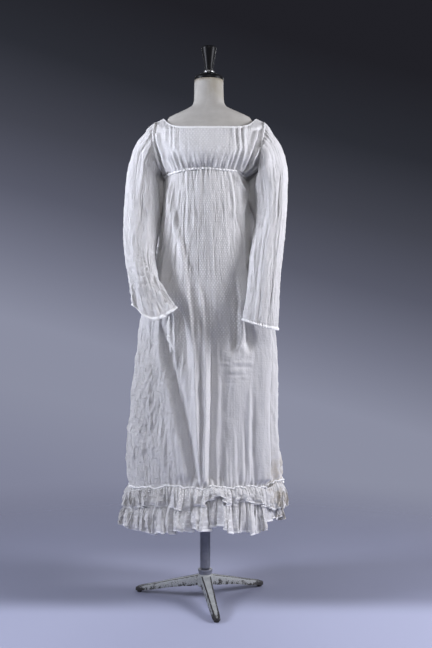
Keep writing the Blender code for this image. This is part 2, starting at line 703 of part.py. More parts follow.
def make_sleeves():
    cloth("sleeve_right", sleeve_grid(-1, SLEEVE_RIGHT), around=True)
    cloth("sleeve_left", sleeve_grid(1, SLEEVE_LEFT), around=True)


def make_tie():
    tube("cuff_tie", smooth_route(rows_of(TIE), 12), TIE_R, WHITE_TAPE, 2)
    tube("cuff_tie_end_a", smooth_route(rows_of(TIE_END_A), 9), TIE_R, WHITE_TAPE, 2)
    tube("cuff_tie_end_b", smooth_route(rows_of(TIE_END_B), 10), TIE_R, WHITE_TAPE, 2)
    knot = bmesh.new()
    bmesh.ops.create_uvsphere(knot, u_segments=12, v_segments=8, radius=1.0)
    bmesh.ops.scale(knot, vec=(0.0062, 0.0040, 0.0034), verts=knot.verts)
    mesh = bpy.data.meshes.new("cuff_tie_knot")
    knot.to_mesh(mesh)
    knot.free()
    add("cuff_tie_knot", mesh, WHITE_TAPE).location = TIE_KNOT


def leg_body(shape, degrees):
    """One tapered leg in the shared mesh: a loft of four-cornered sections."""
    a = math.radians(degrees)
    along = np.array([math.sin(a), -math.cos(a), 0.0])
    across = np.array([math.cos(a), math.sin(a), 0.0])
    up = np.array([0.0, 0.0, 1.0])
    rings = []
    for k in range(len(LEG["reach"])):
        top, low = LEG["top"][k], LEG["top"][k] - LEG["deep"][k]
        base = along * LEG["reach"][k]
        corners = (
            base - across * LEG["half_low"][k] + up * low,
            base + across * LEG["half_low"][k] + up * low,
            base + across * LEG["half_top"][k] + up * top,
            base - across * LEG["half_top"][k] + up * top,
        )
        rings.append([shape.verts.new(c) for c in corners])
    for one, two in zip(rings[:-1], rings[1:]):
        for i in range(4):
            j = (i + 1) % 4
            shape.faces.new((one[i], one[j], two[j], two[i]))
    shape.faces.new(rings[0][::-1])
    shape.faces.new(rings[-1])


def make_stand():
    cylinder("stand_pole", POLE_R, POLE_FOOT_Z, FORM_END_Z - SEAM, GREY_PAINT)
    turned("stand_collar", COLLAR, 28, GREY_PAINT)
    hub = cylinder("stand_base", 0.0262, 0.0440, 0.0857, GREY_PAINT)
    for i in range(3):
        shape = bmesh.new()
        leg_body(shape, TRIPOD_TURN + 120.0 * i)
        bmesh.ops.recalc_face_normals(shape, faces=shape.faces)
        mesh = bpy.data.meshes.new("leg_%d" % i)
        shape.to_mesh(mesh)
        shape.free()
        leg = bpy.data.objects.new("leg_%d" % i, mesh)
        HELPERS.objects.link(leg)
        leg.hide_render = True
        leg.display_type = "WIRE"
        join = hub.modifiers.new("Leg %d" % i, "BOOLEAN")
        join.operation = "UNION"
        join.solver = "EXACT"
        join.object = leg
    for hand, i in (("front", 0), ("left", 1), ("right", 2)):
        a = math.radians(TRIPOD_TURN + 120.0 * i)
        place = (PAD_REACH * math.sin(a), -PAD_REACH * math.cos(a))
        cylinder("foot_pad_" + hand, PAD_R, 0.0, PAD_HEIGHT, BLACK_RUBBER, place, 20)


def make_neck():
    place = (float(FORM["shift_x"][-1]), 0.0, 0.0)
    turned("neck_knob", KNOB, 32, BLACK_LACQUER, place)
    turned("neck_ring", RING, 32, NICKEL, place)
    turned("neck_cap", CAP, 36, BLACK_LACQUER, place)


for old in list(bpy.data.objects):
    bpy.data.objects.remove(old, do_unlink=True)
GOWN = bpy.data.collections.new("regency_gown")
HELPERS = bpy.data.collections.new("helpers")
bpy.context.scene.collection.children.link(GOWN)
bpy.context.scene.collection.children.link(HELPERS)
HELPERS.hide_render = True

make_form()
make_bodice()
make_neck_tape()
make_skirt()
make_trims()
make_flounces()
make_sleeves()
make_tie()
make_neck()
make_stand()
bpy.context.view_layer.update()
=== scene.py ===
"""Looks of the regency gown on its dress form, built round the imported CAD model.

Metres, +Z up, the same frame as the CAD: the pole's axis is X = 0, Y = 0, the
floor is Z = 0 and the wearer faces -Y. Each cloth piece is a thin shell on the
form of its CAD solid, with its folds, gathers and creases from the tables below.
"""

import math

import bmesh
import bpy
import numpy as np
from mathutils import Matrix, Vector


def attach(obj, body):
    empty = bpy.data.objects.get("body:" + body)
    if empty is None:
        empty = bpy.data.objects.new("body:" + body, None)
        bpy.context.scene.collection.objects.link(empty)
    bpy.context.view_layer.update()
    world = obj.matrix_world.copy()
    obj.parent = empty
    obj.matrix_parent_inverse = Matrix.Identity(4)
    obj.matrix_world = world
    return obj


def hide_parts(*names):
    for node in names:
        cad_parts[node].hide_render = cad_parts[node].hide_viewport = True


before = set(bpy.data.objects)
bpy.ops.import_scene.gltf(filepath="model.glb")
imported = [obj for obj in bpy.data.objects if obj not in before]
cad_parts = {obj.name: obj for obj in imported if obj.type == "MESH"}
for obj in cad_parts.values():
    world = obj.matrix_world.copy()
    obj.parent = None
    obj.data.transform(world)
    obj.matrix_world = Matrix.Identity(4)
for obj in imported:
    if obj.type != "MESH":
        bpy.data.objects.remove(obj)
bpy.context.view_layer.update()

# ---------------------------------------------------------------- the camera
CAMERA_AT = (0.0366, -3.136, 0.932)
CAMERA_LENS = 51.39  # mm on a 36 mm sensor, along the picture's long side

lens = bpy.data.cameras.new("camera")
lens.sensor_width = 36.0
lens.sensor_fit = "AUTO"
lens.lens = CAMERA_LENS
lens.clip_end = 60.0
camera = bpy.data.objects.new("camera", lens)
camera.location = CAMERA_AT
camera.rotation_euler = (math.radians(90.0), 0.0, 0.0)
bpy.context.scene.collection.objects.link(camera)
bpy.context.scene.camera = camera

# ---------------------------------------------------------------- sizes, as in the CAD
CLOTH = 0.0007  # wall of a shown cloth shell
RIM = 0.0006
WAIST_Z = 1.4335
SKIRT_END_Z = 0.302
CORD_Z = 0.3940
SIDE_SEAM = 70.0, 110.0
SKIRT_SEAM = 92.0
NECK_TAPE_WIDTH = 0.0072
WAIST_PIPING_R = 0.0029
HEM_CORD_R = 0.0024
FORM_X = 0.0160
POLE_R = 0.0171
POLE_FOOT_Z = 0.1015
FORM_END_Z = 0.842
TRIPOD_TURN = 9.0


def table(names, rows):
    """Named columns of a short table."""
    return {n: np.array(c, float) for n, c in zip(names, zip(*rows))}


FORM = table(
    ("z", "half", "front", "back", "shift_x", "round"),
    [
        (0.842, 0.148, 0.082, 0.098, 0.002, 2.2),
        (0.862, 0.157, 0.088, 0.104, 0.002, 2.2),
        (0.950, 0.163, 0.094, 0.110, 0.002, 2.2),
        (1.060, 0.157, 0.095, 0.108, 0.002, 2.2),
        (1.170, 0.137, 0.090, 0.092, 0.002, 2.1),
        (1.270, 0.118, 0.084, 0.078, 0.002, 2.0),
        (1.360, 0.116, 0.088, 0.084, 0.002, 2.0),
        (1.425, 0.1215, 0.097, 0.0885, 0.002, 2.0),
        (1.470, 0.131, 0.111, 0.0925, 0.008, 2.0),
        (1.500, 0.145, 0.117, 0.0955, 0.012, 2.0),
        (1.530, 0.159, 0.109, 0.0965, 0.015, 2.0),
        (1.560, 0.167, 0.094, 0.0945, 0.015, 1.85),
        (1.590, 0.166, 0.078, 0.089, 0.015, 1.70),
        (1.606, 0.158, 0.069, 0.084, 0.015, 1.62),
        (1.618, 0.146, 0.065, 0.079, 0.015, 1.62),
        (1.632, 0.136, 0.067, 0.076, 0.014, 1.8),
        (1.644, 0.1100, 0.063, 0.072, 0.014, 1.85),
        (1.656, 0.0820, 0.058, 0.066, 0.013, 1.9),
        (1.667, 0.0600, 0.053, 0.059, 0.0125, 2.0),
        (1.680, 0.0525, 0.0505, 0.0545, 0.0125, 2.0),
        (1.697, 0.0500, 0.0495, 0.0510, 0.0125, 2.0),
        (1.756, 0.0490, 0.0490, 0.0490, 0.0125, 2.0),
    ],
)
SKIRT = table(
    ("z", "right", "left", "front", "back", "middle"),
    [
        (0.300, -0.2530, 0.2460, -0.117, 0.226, 0.045),
        (0.375, -0.2560, 0.2550, -0.118, 0.231, 0.045),
        (0.420, -0.2600, 0.2560, -0.118, 0.231, 0.045),
        (0.506, -0.2616, 0.2520, -0.117, 0.226, 0.042),
        (0.589, -0.2552, 0.2490, -0.116, 0.222, 0.040),
        (0.671, -0.2478, 0.2500, -0.116, 0.217, 0.037),
        (0.754, -0.2389, 0.2480, -0.116, 0.211, 0.034),
        (0.836, -0.2290, 0.2420, -0.116, 0.204, 0.030),
        (0.980, -0.2125, 0.2240, -0.116, 0.190, 0.022),
        (1.100, -0.1820, 0.1860, -0.116, 0.172, 0.016),
        (1.220, -0.1570, 0.1590, -0.115, 0.150, 0.010),
        (1.330, -0.1420, 0.1430, -0.112, 0.124, 0.004),
        (1.400, -0.1370, 0.1370, -0.107, 0.105, 0.000),
        (1.4335, -0.1345, 0.1335, -0.104, 0.097, 0.000),
    ],
)
BODICE = table(
    ("z_front", "front", "z_back", "back", "square", "rise"),
    [
        (1.4335, -0.1040, 1.4335, 0.0970, 2.0, 2.0),
        (1.4580, -0.1215, 1.4580, 0.1010, 2.2, 2.0),
        (1.4840, -0.1305, 1.4830, 0.1040, 2.4, 2.0),
        (1.5060, -0.1300, 1.5060, 0.1060, 2.5, 2.2),
        (1.5260, -0.1235, 1.5280, 0.1070, 2.6, 2.6),
        (1.5440, -0.1155, 1.5490, 0.1065, 2.7, 3.0),
        (1.5590, -0.1090, 1.5680, 0.1050, 2.9, 3.4),
        (1.5710, -0.1035, 1.5850, 0.1020, 3.4, 4.2),
        (1.5795, -0.0995, 1.6000, 0.0980, 4.5, 6.0),
    ],
)
NECK_CORNER = 0.845
SHOULDER_PEAK = (0.1560, 0.0020, 1.6275)
ARM_CENTRE = (0.1745, 0.0020, 1.5345)
ARM_LEAN = 0.0085
ARM_HEIGHT, ARM_FRONT, ARM_BACK, ARM_BOW = 0.0790, 0.0520, 0.0560, 0.0120
SLEEVE_NAMES = ("out_x", "out_z", "in_x", "in_z", "y", "deep", "dip")
SLEEVE_RIGHT = table(
    SLEEVE_NAMES,
    [
        (-0.2110, 1.5670, -0.1650, 1.4280, 0.000, 0.063, 0.0),
        (-0.2385, 1.5250, -0.1600, 1.3990, -0.003, 0.066, 0.0),
        (-0.2560, 1.4640, -0.1550, 1.3560, -0.010, 0.066, 0.0),
        (-0.2655, 1.3996, -0.1530, 1.3060, -0.022, 0.062, 0.0),
        (-0.2704, 1.3200, -0.1550, 1.2480, -0.040, 0.056, 0.0),
        (-0.2698, 1.2377, -0.1611, 1.1912, -0.062, 0.050, 0.0),
        (-0.2635, 1.1700, -0.1640, 1.1420, -0.084, 0.044, 0.0),
        (-0.2530, 1.1080, -0.1570, 1.0960, -0.107, 0.038, 0.0),
        (-0.2420, 1.0480, -0.1320, 1.0420, -0.130, 0.031, 0.006),
        (-0.2326, 0.9925, -0.0900, 0.9820, -0.152, 0.024, 0.034),
    ],
)
SLEEVE_LEFT = table(
    SLEEVE_NAMES,
    [
        (0.2410, 1.5670, 0.1880, 1.4350, 0.000, 0.063, 0.0),
        (0.2660, 1.5230, 0.1800, 1.4030, -0.003, 0.066, 0.0),
        (0.2815, 1.4500, 0.1735, 1.3500, -0.011, 0.066, 0.0),
        (0.2805, 1.3850, 0.1680, 1.3020, -0.022, 0.062, 0.0),
        (0.2770, 1.3100, 0.1655, 1.2560, -0.040, 0.056, 0.0),
        (0.2692, 1.2300, 0.1580, 1.2040, -0.062, 0.051, 0.0),
        (0.2604, 1.1600, 0.1500, 1.1480, -0.084, 0.045, 0.0),
        (0.2514, 1.0900, 0.1450, 1.0820, -0.106, 0.039, 0.0),
        (0.2458, 1.0150, 0.1370, 1.0140, -0.128, 0.033, 0.002),
        (0.2408, 0.9120, 0.1224, 0.9440, -0.148, 0.026, 0.005),
    ],
)
TIE = [(-0.1140, -0.1730, 0.9560), (-0.1150, -0.1785, 0.9440), (-0.1163, -0.1800, 0.9300), (-0.1165, -0.1795, 0.9120), (-0.1160, -0.1775, 0.8985)]
TIE_KNOT = (-0.1160, -0.1770, 0.8925)
TIE_END_A = [(-0.1134, -0.1765, 0.8868), (-0.1112, -0.1770, 0.8720), (-0.1090, -0.1765, 0.8560), (-0.1078, -0.1750, 0.8420)]
TIE_END_B = [(-0.1184, -0.1775, 0.8868), (-0.1120, -0.1800, 0.8745), (-0.1020, -0.1800, 0.8580), (-0.0950, -0.1775, 0.8430)]
KNOB = table(
    ("r", "z"),
    [
        (0.0, 1.8725), (0.0180, 1.8722), (0.0240, 1.8706), (0.0257, 1.8668), (0.0252, 1.8616),
        (0.0215, 1.8440), (0.0175, 1.8245), (0.0142, 1.8065), (0.0128, 1.7927), (0.0, 1.7927),
    ],
)
RING = table(
    ("r", "z"),
    [(0.0, 1.7924), (0.0130, 1.7924), (0.0166, 1.7900), (0.0180, 1.7862), (0.0166, 1.7826), (0.0130, 1.7806), (0.0, 1.7806)],
)
CAP = table(
    ("r", "z"),
    [(0.0, 1.7803), (0.0150, 1.7803), (0.0300, 1.7770), (0.0440, 1.7705), (0.0494, 1.7655), (0.0498, 1.7590), (0.0485, 1.7545), (0.0, 1.7545)],
)
LEG = table(
    ("reach", "top", "deep", "half_top", "half_low"),
    [
        (0.0100, 0.0855, 0.0330, 0.0150, 0.0185),
        (0.0300, 0.0800, 0.0330, 0.0150, 0.0185),
        (0.0700, 0.0690, 0.0285, 0.0135, 0.0170),
        (0.1250, 0.0545, 0.0235, 0.0120, 0.0155),
        (0.1850, 0.0375, 0.0205, 0.0105, 0.0140),
        (0.2400, 0.0235, 0.0165, 0.0095, 0.0125),
        (0.2585, 0.0180, 0.0125, 0.0085, 0.0115),
    ],
)
PAD_HEIGHT, PAD_R, PAD_REACH = 0.0052, 0.0085, 0.2460

# ---------------------------------------------------------------- lines of the cloth
# Heights of the waist seam and of the corded seam round the gown.
WAIST_LINE = table(
    ("angle", "z"),
    [
        (-180, 1.4335), (-110, 1.4325), (-90, 1.4305), (-73, 1.4306), (-47, 1.4345), (-21, 1.4412),
        (0, 1.4433), (22, 1.4410), (50, 1.4400), (60, 1.4350), (74, 1.4270), (92, 1.4270), (115, 1.4325), (180, 1.4335),
    ],
)
CORD_LINE = table(
    ("angle", "z"),
    [
        (-180, 0.392), (-130, 0.388), (-92, 0.380), (-48, 0.3875), (-35, 0.395), (-18, 0.400), (-4, 0.3955),
        (10, 0.4040), (18, 0.399), (36, 0.400), (44, 0.394), (58, 0.3935), (66, 0.400), (92, 0.397), (140, 0.393), (180, 0.392),
    ],
)
# The hems of the two flounces, and how far each stands off the skirt.
UPPER_HEM = table(
    ("angle", "z", "flare"),
    [
        (-180, 0.322, 0.022), (-130, 0.318, 0.020), (-92, 0.313, 0.012), (-69, 0.315, 0.015), (-50, 0.326, 0.016),
        (-36, 0.337, 0.017), (-26, 0.336, 0.018), (-20, 0.326, 0.020), (-12, 0.325, 0.020), (-8, 0.337, 0.019),
        (-2, 0.338, 0.018), (4, 0.368, 0.024), (9, 0.374, 0.027), (13, 0.364, 0.024), (17, 0.342, 0.018),
        (25, 0.347, 0.019), (32, 0.356, 0.019), (38, 0.342, 0.018), (45, 0.333, 0.016), (55, 0.320, 0.006),
        (66, 0.310, 0.012), (88, 0.308, 0.020), (125, 0.316, 0.022), (180, 0.322, 0.022),
    ],
)
LOWER_HEM = table(
    ("angle", "z", "flare"),
    [
        (-180, 0.258, 0.036), (-130, 0.255, 0.033), (-92, 0.253, 0.026), (-65, 0.2505, 0.028), (-50, 0.2540, 0.029),
        (-38, 0.2460, 0.031), (-24, 0.2555, 0.033), (-12, 0.2640, 0.034), (0, 0.2675, 0.034), (9, 0.2765, 0.033),
        (14, 0.2735, 0.032), (19, 0.2580, 0.034), (31, 0.2520, 0.032), (42, 0.2470, 0.026), (50, 0.2540, 0.008),
        (60, 0.2720, -0.012), (70, 0.2730, -0.011), (84, 0.2680, -0.002), (100, 0.2560, 0.016), (130, 0.254, 0.028), (180, 0.258, 0.036),
    ],
)

# Folds of the skirt that have a place of their own: the line that each follows
# (height, degrees from centre front), its reach to the right hand and to the
# left hand of that line, how far it stands out, and the heights over which it
# fades at its top and at its foot.
SKIRT_FOLDS = [
    # long ridge that starts under the right arm and runs in to the middle
    ([(1.37, -50), (1.27, -40), (1.21, -30), (1.11, -21), (1.00, -16.5), (0.88, -11), (0.80, -9.8)], 0.017, 0.007, 0.0070, (1.37, 1.28), (1.08, 0.96)),
    ([(1.06, -18.2), (0.993, -15.0), (0.945, -13.3), (0.898, -12.0), (0.852, -10.6), (0.79, -9.2), (0.716, -7.8), (0.645, -6.3), (0.553, -4.4), (0.488, -3.7), (0.40, -2.3)], 0.0075, 0.0055, 0.0078, (1.08, 0.98), (0.42, 0.405)),
    # softer ridge beside it
    ([(1.13, -9), (1.02, -5), (0.96, -3), (0.863, -1.5), (0.80, -0.6), (0.749, -0.2), (0.645, 0.8), (0.553, 1.3), (0.488, 0.9), (0.40, -0.6)], 0.0055, 0.0042, 0.0072, (1.13, 0.98), (0.42, 0.405)),
    ([(0.92, -6.0), (0.80, -5.0), (0.645, -2.8), (0.52, -1.7), (0.40, -1.6)], 0.0060, 0.0055, -0.0048, (0.91, 0.80), (0.44, 0.41)),
    ([(1.00, -9.0), (0.88, -6.0), (0.80, -4.8), (0.645, -2.4), (0.52, -1.4), (0.40, -1.3)], 0.0240, 0.0150, 0.0070, (1.02, 0.90), (0.44, 0.41)),
    # wide valley left of centre
    ([(1.00, 4.0), (0.912, 3.7), (0.863, 3.5), (0.798, 3.6), (0.684, 4.2), (0.553, 4.9), (0.423, 3.4)], 0.0042, 0.0190, -0.0165, (0.93, 0.82), (0.43, 0.405)),
    ([(1.00, 12.0), (0.88, 11.0), (0.756, 12.5), (0.63, 13.5), (0.50, 13.0), (0.40, 12.0)], 0.0160, 0.0260, -0.0080, (1.04, 0.90), (0.43, 0.405)),
    # hollows in the shade of the two cuffs
    ([(1.06, -28), (0.978, -22.5), (0.945, -20.2), (0.896, -18.6), (0.847, -17.0), (0.78, -14.5)], 0.0230, 0.0075, -0.0168, (1.02, 0.950), (0.870, 0.76)),
    ([(0.97, -32.5), (0.90, -31.5), (0.84, -30), (0.80, -28.5)], 0.0085, 0.0085, -0.0070, (0.98, 0.95), (0.85, 0.80)),
    ([(0.86, -27), (0.80, -25), (0.74, -22), (0.68, -19)], 0.0040, 0.0055, 0.0036, (0.86, 0.83), (0.72, 0.66)),
    ([(1.12, 31), (1.011, 27.5), (0.945, 25.6), (0.896, 25.0), (0.863, 24), (0.80, 20.5)], 0.0240, 0.0080, -0.0175, (1.14, 1.03), (0.880, 0.81)),
    ([(1.00, 31.5), (0.93, 31.0), (0.88, 29.0), (0.85, 25.5), (0.82, 20.0)], 0.0050, 0.0060, 0.0036, (1.00, 0.96), (0.85, 0.81)),
    ([(1.00, 35.0), (0.945, 37.0), (0.90, 37.5), (0.86, 36.5)], 0.0160, 0.0130, -0.0170, (1.02, 0.96), (0.880, 0.830)),
    # deep valley that runs in from the right hand
    ([(0.95, -41), (0.833, -33), (0.795, -29), (0.733, -23), (0.629, -15.5), (0.554, -11.0), (0.463, -7.5), (0.40, -6.0)], 0.011, 0.018, -0.0125, (0.95, 0.84), (0.44, 0.405)),
    ([(1.00, -46), (0.85, -41), (0.75, -33), (0.66, -26), (0.58, -21), (0.50, -16), (0.40, -13)], 0.024, 0.010, 0.0080, (1.00, 0.90), (0.45, 0.41)),
    ([(1.02, -44.5), (0.774, -38.5), (0.583, -34), (0.45, -31)], 0.003, 0.018, 0.0036, (1.02, 0.93), (0.47, 0.43)),
    ([(1.02, -59), (0.88, -54), (0.772, -50.5), (0.60, -44), (0.50, -40)], 0.007, 0.005, 0.0045, (1.02, 0.94), (0.56, 0.48)),
    ([(0.66, -50.5), (0.50, -48.5), (0.40, -47)], 0.008, 0.007, -0.0065, (0.66, 0.58), (0.43, 0.405)),
    ([(0.98, -66), (0.80, -63), (0.62, -62), (0.45, -60)], 0.012, 0.010, -0.0060, (0.98, 0.88), (0.47, 0.42)),
    # flat stretch on the left hand with a sharp edge, and the tuck behind it
    ([(1.04, 63), (0.945, 60.5), (0.879, 57.5), (0.812, 55.0), (0.679, 53.2), (0.545, 53.2), (0.40, 51.5)], 0.046, 0.0032, 0.0195, (1.04, 0.95), (0.42, 0.40)),
    ([(1.08, 66), (0.912, 62.3), (0.812, 58.6), (0.679, 56.0), (0.50, 55.6), (0.40, 54.5)], 0.0030, 0.0240, -0.0285, (1.10, 0.95), (0.40, 0.30)),
    ([(1.15, 83), (0.90, 79), (0.70, 72.5), (0.50, 70.5), (0.40, 69)], 0.008, 0.012, 0.0075, (1.15, 1.0), (0.42, 0.40)),
    ([(0.76, 35.5), (0.56, 35), (0.40, 35)], 0.006, 0.004, 0.0045, (0.76, 0.66), (0.42, 0.40)),
    ([(0.72, 38.6), (0.40, 38.6)], 0.004, 0.006, -0.0035, (0.72, 0.62), (0.42, 0.40)),
    ([(0.60, 30.5), (0.40, 29.5)], 0.005, 0.005, 0.0034, (0.60, 0.50), (0.42, 0.40)),
    ([(0.59, 24), (0.40, 23)], 0.005, 0.005, 0.0034, (0.59, 0.50), (0.42, 0.40)),
    ([(0.55, 17), (0.40, 16.5)], 0.004, 0.004, 0.0026, (0.55, 0.47), (0.42, 0.40)),
    # folds that hang from the waist beside the left arm
    ([(1.436, 49), (1.40, 58), (1.376, 70), (1.355, 74), (1.33, 64), (1.28, 57), (1.20, 51), (1.10, 47)], 0.013, 0.006, 0.0065, (1.44, 1.42), (1.22, 1.10)),
    ([(1.427, 38), (1.391, 38.5), (1.325, 40), (1.295, 39.5), (1.253, 45)], 0.006, 0.005, 0.0042, (1.44, 1.42), (1.30, 1.24)),
    ([(1.430, 42), (1.411, 43), (1.342, 47), (1.286, 45), (1.24, 48)], 0.006, 0.006, -0.0052, (1.44, 1.42), (1.30, 1.22)),
    ([(1.20, 32), (1.05, 30), (0.92, 30)], 0.016, 0.012, 0.0030, (1.20, 1.10), (1.00, 0.92)),
    # sides
    ([(1.40, -58), (1.25, -54), (1.10, -48), (0.98, -44)], 0.018, 0.022, 0.0090, (1.41, 1.34), (1.04, 0.94)),
    ([(1.42, -80), (1.20, -78), (0.98, -76)], 0.014, 0.010, -0.0070, (1.42, 1.36), (1.08, 0.96)),
    ([(1.38, 88), (1.0, 90), (0.45, 92)], 0.018, 0.016, -0.0070, (1.38, 1.25), (0.50, 0.41)),
    ([(1.38, -88), (1.0, -90), (0.45, -93)], 0.018, 0.016, -0.0065, (1.38, 1.25), (0.50, 0.41)),
    ([(1.36, -78), (1.0, -79), (0.45, -80)], 0.012, 0.010, 0.0050, (1.36, 1.2), (0.50, 0.41)),
    ([(1.36, -99), (1.0, -100), (0.45, -102)], 0.013, 0.011, 0.0055, (1.36, 1.2), (0.50, 0.41)),
    ([(1.36, 100), (1.0, 101), (0.45, 103)], 0.013, 0.011, 0.0055, (1.36, 1.2), (0.50, 0.41)),
    # back, where the cloth is gathered most
    ([(1.37, -109), (0.9, -110), (0.45, -111)], 0.014, 0.018, -0.0085, (1.38, 1.25), (0.46, 0.41)),
    ([(1.39, -119), (0.9, -119), (0.45, -121)], 0.012, 0.014, 0.0060, (1.40, 1.28), (0.46, 0.41)),
    ([(1.40, -127), (0.9, -128), (0.45, -129)], 0.010, 0.017, -0.0080, (1.41, 1.28), (0.46, 0.41)),
    ([(1.41, -136), (0.9, -137), (0.45, -138)], 0.014, 0.010, 0.0075, (1.42, 1.30), (0.46, 0.41)),
    ([(1.41, -145), (0.9, -146), (0.45, -148)], 0.012, 0.016, -0.0105, (1.42, 1.30), (0.46, 0.41)),
    ([(1.42, -153), (0.9, -154), (0.60, -156)], 0.010, 0.010, 0.0060, (1.43, 1.32), (0.66, 0.55)),
    ([(1.42, -161), (0.9, -162), (0.45, -163)], 0.014, 0.015, 0.0085, (1.43, 1.32), (0.46, 0.41)),
    ([(1.42, -169), (0.9, -170), (0.45, -171)], 0.010, 0.010, -0.0080, (1.43, 1.32), (0.46, 0.41)),
    ([(1.42, -176), (0.9, -177), (0.45, -179)], 0.012, 0.014, -0.0095, (1.43, 1.32), (0.46, 0.41)),
    ([(1.42, 176), (0.9, 174), (0.70, 173)], 0.009, 0.012, 0.0065, (1.43, 1.32), (0.80, 0.66)),
    ([(1.42, 168), (0.9, 167), (0.45, 166)], 0.013, 0.014, 0.0085, (1.43, 1.32), (0.46, 0.41)),
    ([(1.42, 160), (0.9, 160), (0.45, 158)], 0.010, 0.012, -0.0080, (1.43, 1.32), (0.46, 0.41)),
    ([(1.41, 152), (0.9, 151), (0.45, 150)], 0.012, 0.014, -0.0100, (1.42, 1.30), (0.46, 0.41)),
    ([(1.41, 143), (0.9, 142), (0.45, 141)], 0.012, 0.012, 0.0080, (1.42, 1.30), (0.46, 0.41)),
    ([(1.40, 134), (0.9, 133), (0.45, 131)], 0.012, 0.015, -0.0085, (1.41, 1.28), (0.46, 0.41)),
    ([(1.39, 125), (0.9, 124), (0.45, 122)], 0.010, 0.012, 0.0060, (1.40, 1.28), (0.46, 0.41)),
    ([(1.37, 115), (0.9, 114), (0.45, 113)], 0.014, 0.018, -0.0085, (1.38, 1.25), (0.46, 0.41)),
]
# Level creases across the front: height, from and to degrees, height gained on the way, depth.
SKIRT_CREASES = [
    (0.8120, 15, 33, 0.006, -0.0008), (0.8010, 9, 37, 0.004, 0.0012), (0.7900, 12, 39, 0.001, -0.0013),
    (0.7790, 8, 31, 0.000, 0.0010), (0.7670, 13, 38, -0.002, -0.0012), (0.7550, 17, 34, 0.001, 0.0008),
    (0.7400, 12, 27, -0.003, -0.0007), (0.8300, 17, 32, 0.018, -0.0010), (0.8460, 21, 36, 0.024, 0.0010), (0.8700, 16, 29, 0.012, -0.0007),
    (1.0900, -24, 8, 0.000, 0.0005), (1.0400, -18, 22, 0.004, -0.0005), (0.9950, -12, 26, 0.002, 0.0006), (0.6700, -2, 10, 0.001, 0.0005),
]


# ---------------------------------------------------------------- arithmetic
def through(x, y, at):
    """The smooth curve through the rows of a table that never overshoots them, read at `at`."""
    x, y = np.asarray(x, float), np.asarray(y, float)
    at = np.clip(np.asarray(at, float), min(x[0], x[-1]), max(x[0], x[-1]))
    if x[0] > x[-1]:
        x, y = x[::-1], y[::-1]
    step = np.diff(x)
    slope = np.diff(y) / step
    m = np.zeros(len(y))
    a, b = slope[:-1], slope[1:]
    same = a * b > 0
    w1, w2 = 2 * step[1:] + step[:-1], step[1:] + 2 * step[:-1]
    m[1:-1][same] = (w1 + w2)[same] / (w1[same] / a[same] + w2[same] / b[same])
    m[0], m[-1] = slope[0], slope[-1]
    i = np.clip(np.searchsorted(x, at) - 1, 0, len(step) - 1)
    t = (at - x[i]) / step[i]
    return (
        (1 + 2 * t) * (1 - t) ** 2 * y[i]
        + t * (1 - t) ** 2 * step[i] * m[i]
        + t * t * (3 - 2 * t) * y[i + 1]
        + t * t * (t - 1) * step[i] * m[i + 1]
    )


def ease(low, high, x):
    """0 at low, 1 at high, smooth between, whichever is larger."""
    t = np.clip((np.asarray(x, float) - low) / (high - low), 0, 1)
    return t * t * (3 - 2 * t)


def power(x, n):
    return np.sign(x) * np.abs(x) ** n


def stack(*columns):
    return np.stack(np.broadcast_arrays(*columns), axis=-1)


def unit(v):
    return v / np.maximum(np.linalg.norm(v, axis=-1, keepdims=True), 1e-12)


def hashed(i, j, seed):
    i, j = np.atleast_1d(i).astype(np.int64), np.atleast_1d(j).astype(np.int64)
    n = ((i * 73856093) ^ (j * 19349663) ^ (int(seed) * 83492791)) & 0x7FFFFFFF
    n = ((n ^ (n >> 13)) * 1274126177) & 0x7FFFFFFF
    n = ((n ^ (n >> 15)) * 1103515245) & 0x7FFFFFFF
    return ((n ^ (n >> 16)) & 0xFFFFFF) / 0x7FFFFF - 1.0


def noise(x, y, seed=0):
    """Smooth noise between -1 and 1, one bump for each unit of x and of y."""
    x, y = np.broadcast_arrays(np.asarray(x, float), np.asarray(y, float))
    i, j = np.floor(x), np.floor(y)
    fx, fy = x - i, y - j
    fx, fy = fx * fx * fx * (fx * (fx * 6 - 15) + 10), fy * fy * fy * (fy * (fy * 6 - 15) + 10)
    a, b = hashed(i, j, seed), hashed(i + 1, j, seed)
    c, d = hashed(i, j + 1, seed), hashed(i + 1, j + 1, seed)
    out = (a * (1 - fx) + b * fx) * (1 - fy) + (c * (1 - fx) + d * fx) * fy
    return out.reshape(x.shape)


def crinkle(u, v, across, along, seed):
    """Long thin creases that run along v: sharp ridges with soft ground between."""
    bend = 0.55 * noise(u / (across * 6), v / (along * 0.5), seed + 7)
    one = 1 - 2 * np.abs(noise(u / across + bend, v / along, seed))
    two = noise(u / (across * 0.52) + bend, v / (along * 0.6), seed + 3)
    return 0.65 * one + 0.35 * two


def refine(grid, at, axis=0):
    """Rows (or columns) of a grid at real places between its own, on a smooth curve."""
    g = np.moveaxis(grid, axis, 0)
    m = np.empty_like(g)
    m[1:-1] = (g[2:] - g[:-2]) / 2
    m[0], m[-1] = g[1] - g[0], g[-1] - g[-2]
    i = np.clip(np.floor(at).astype(int), 0, len(g) - 2)
    t = (np.asarray(at, float) - i).reshape((-1,) + (1,) * (g.ndim - 1))
    out = (
        (1 + 2 * t) * (1 - t) ** 2 * g[i]
        + t * (1 - t) ** 2 * m[i]
        + t * t * (3 - 2 * t) * g[i + 1]
        + t * t * (t - 1) * m[i + 1]
    )
    return np.moveaxis(out, 0, axis)


def even(grid, rows, steps=400):
    """Real row numbers that space the rows of a grid evenly along its length."""
    fine = refine(grid, np.linspace(0, len(grid) - 1, steps))
    run = np.linalg.norm(np.diff(fine, axis=0), axis=-1).mean(axis=1)
    run = np.concatenate([[0.0], np.cumsum(run)])
    return np.interp(np.linspace(0, run[-1], rows), run, np.linspace(0, len(grid) - 1, steps)), run[-1]


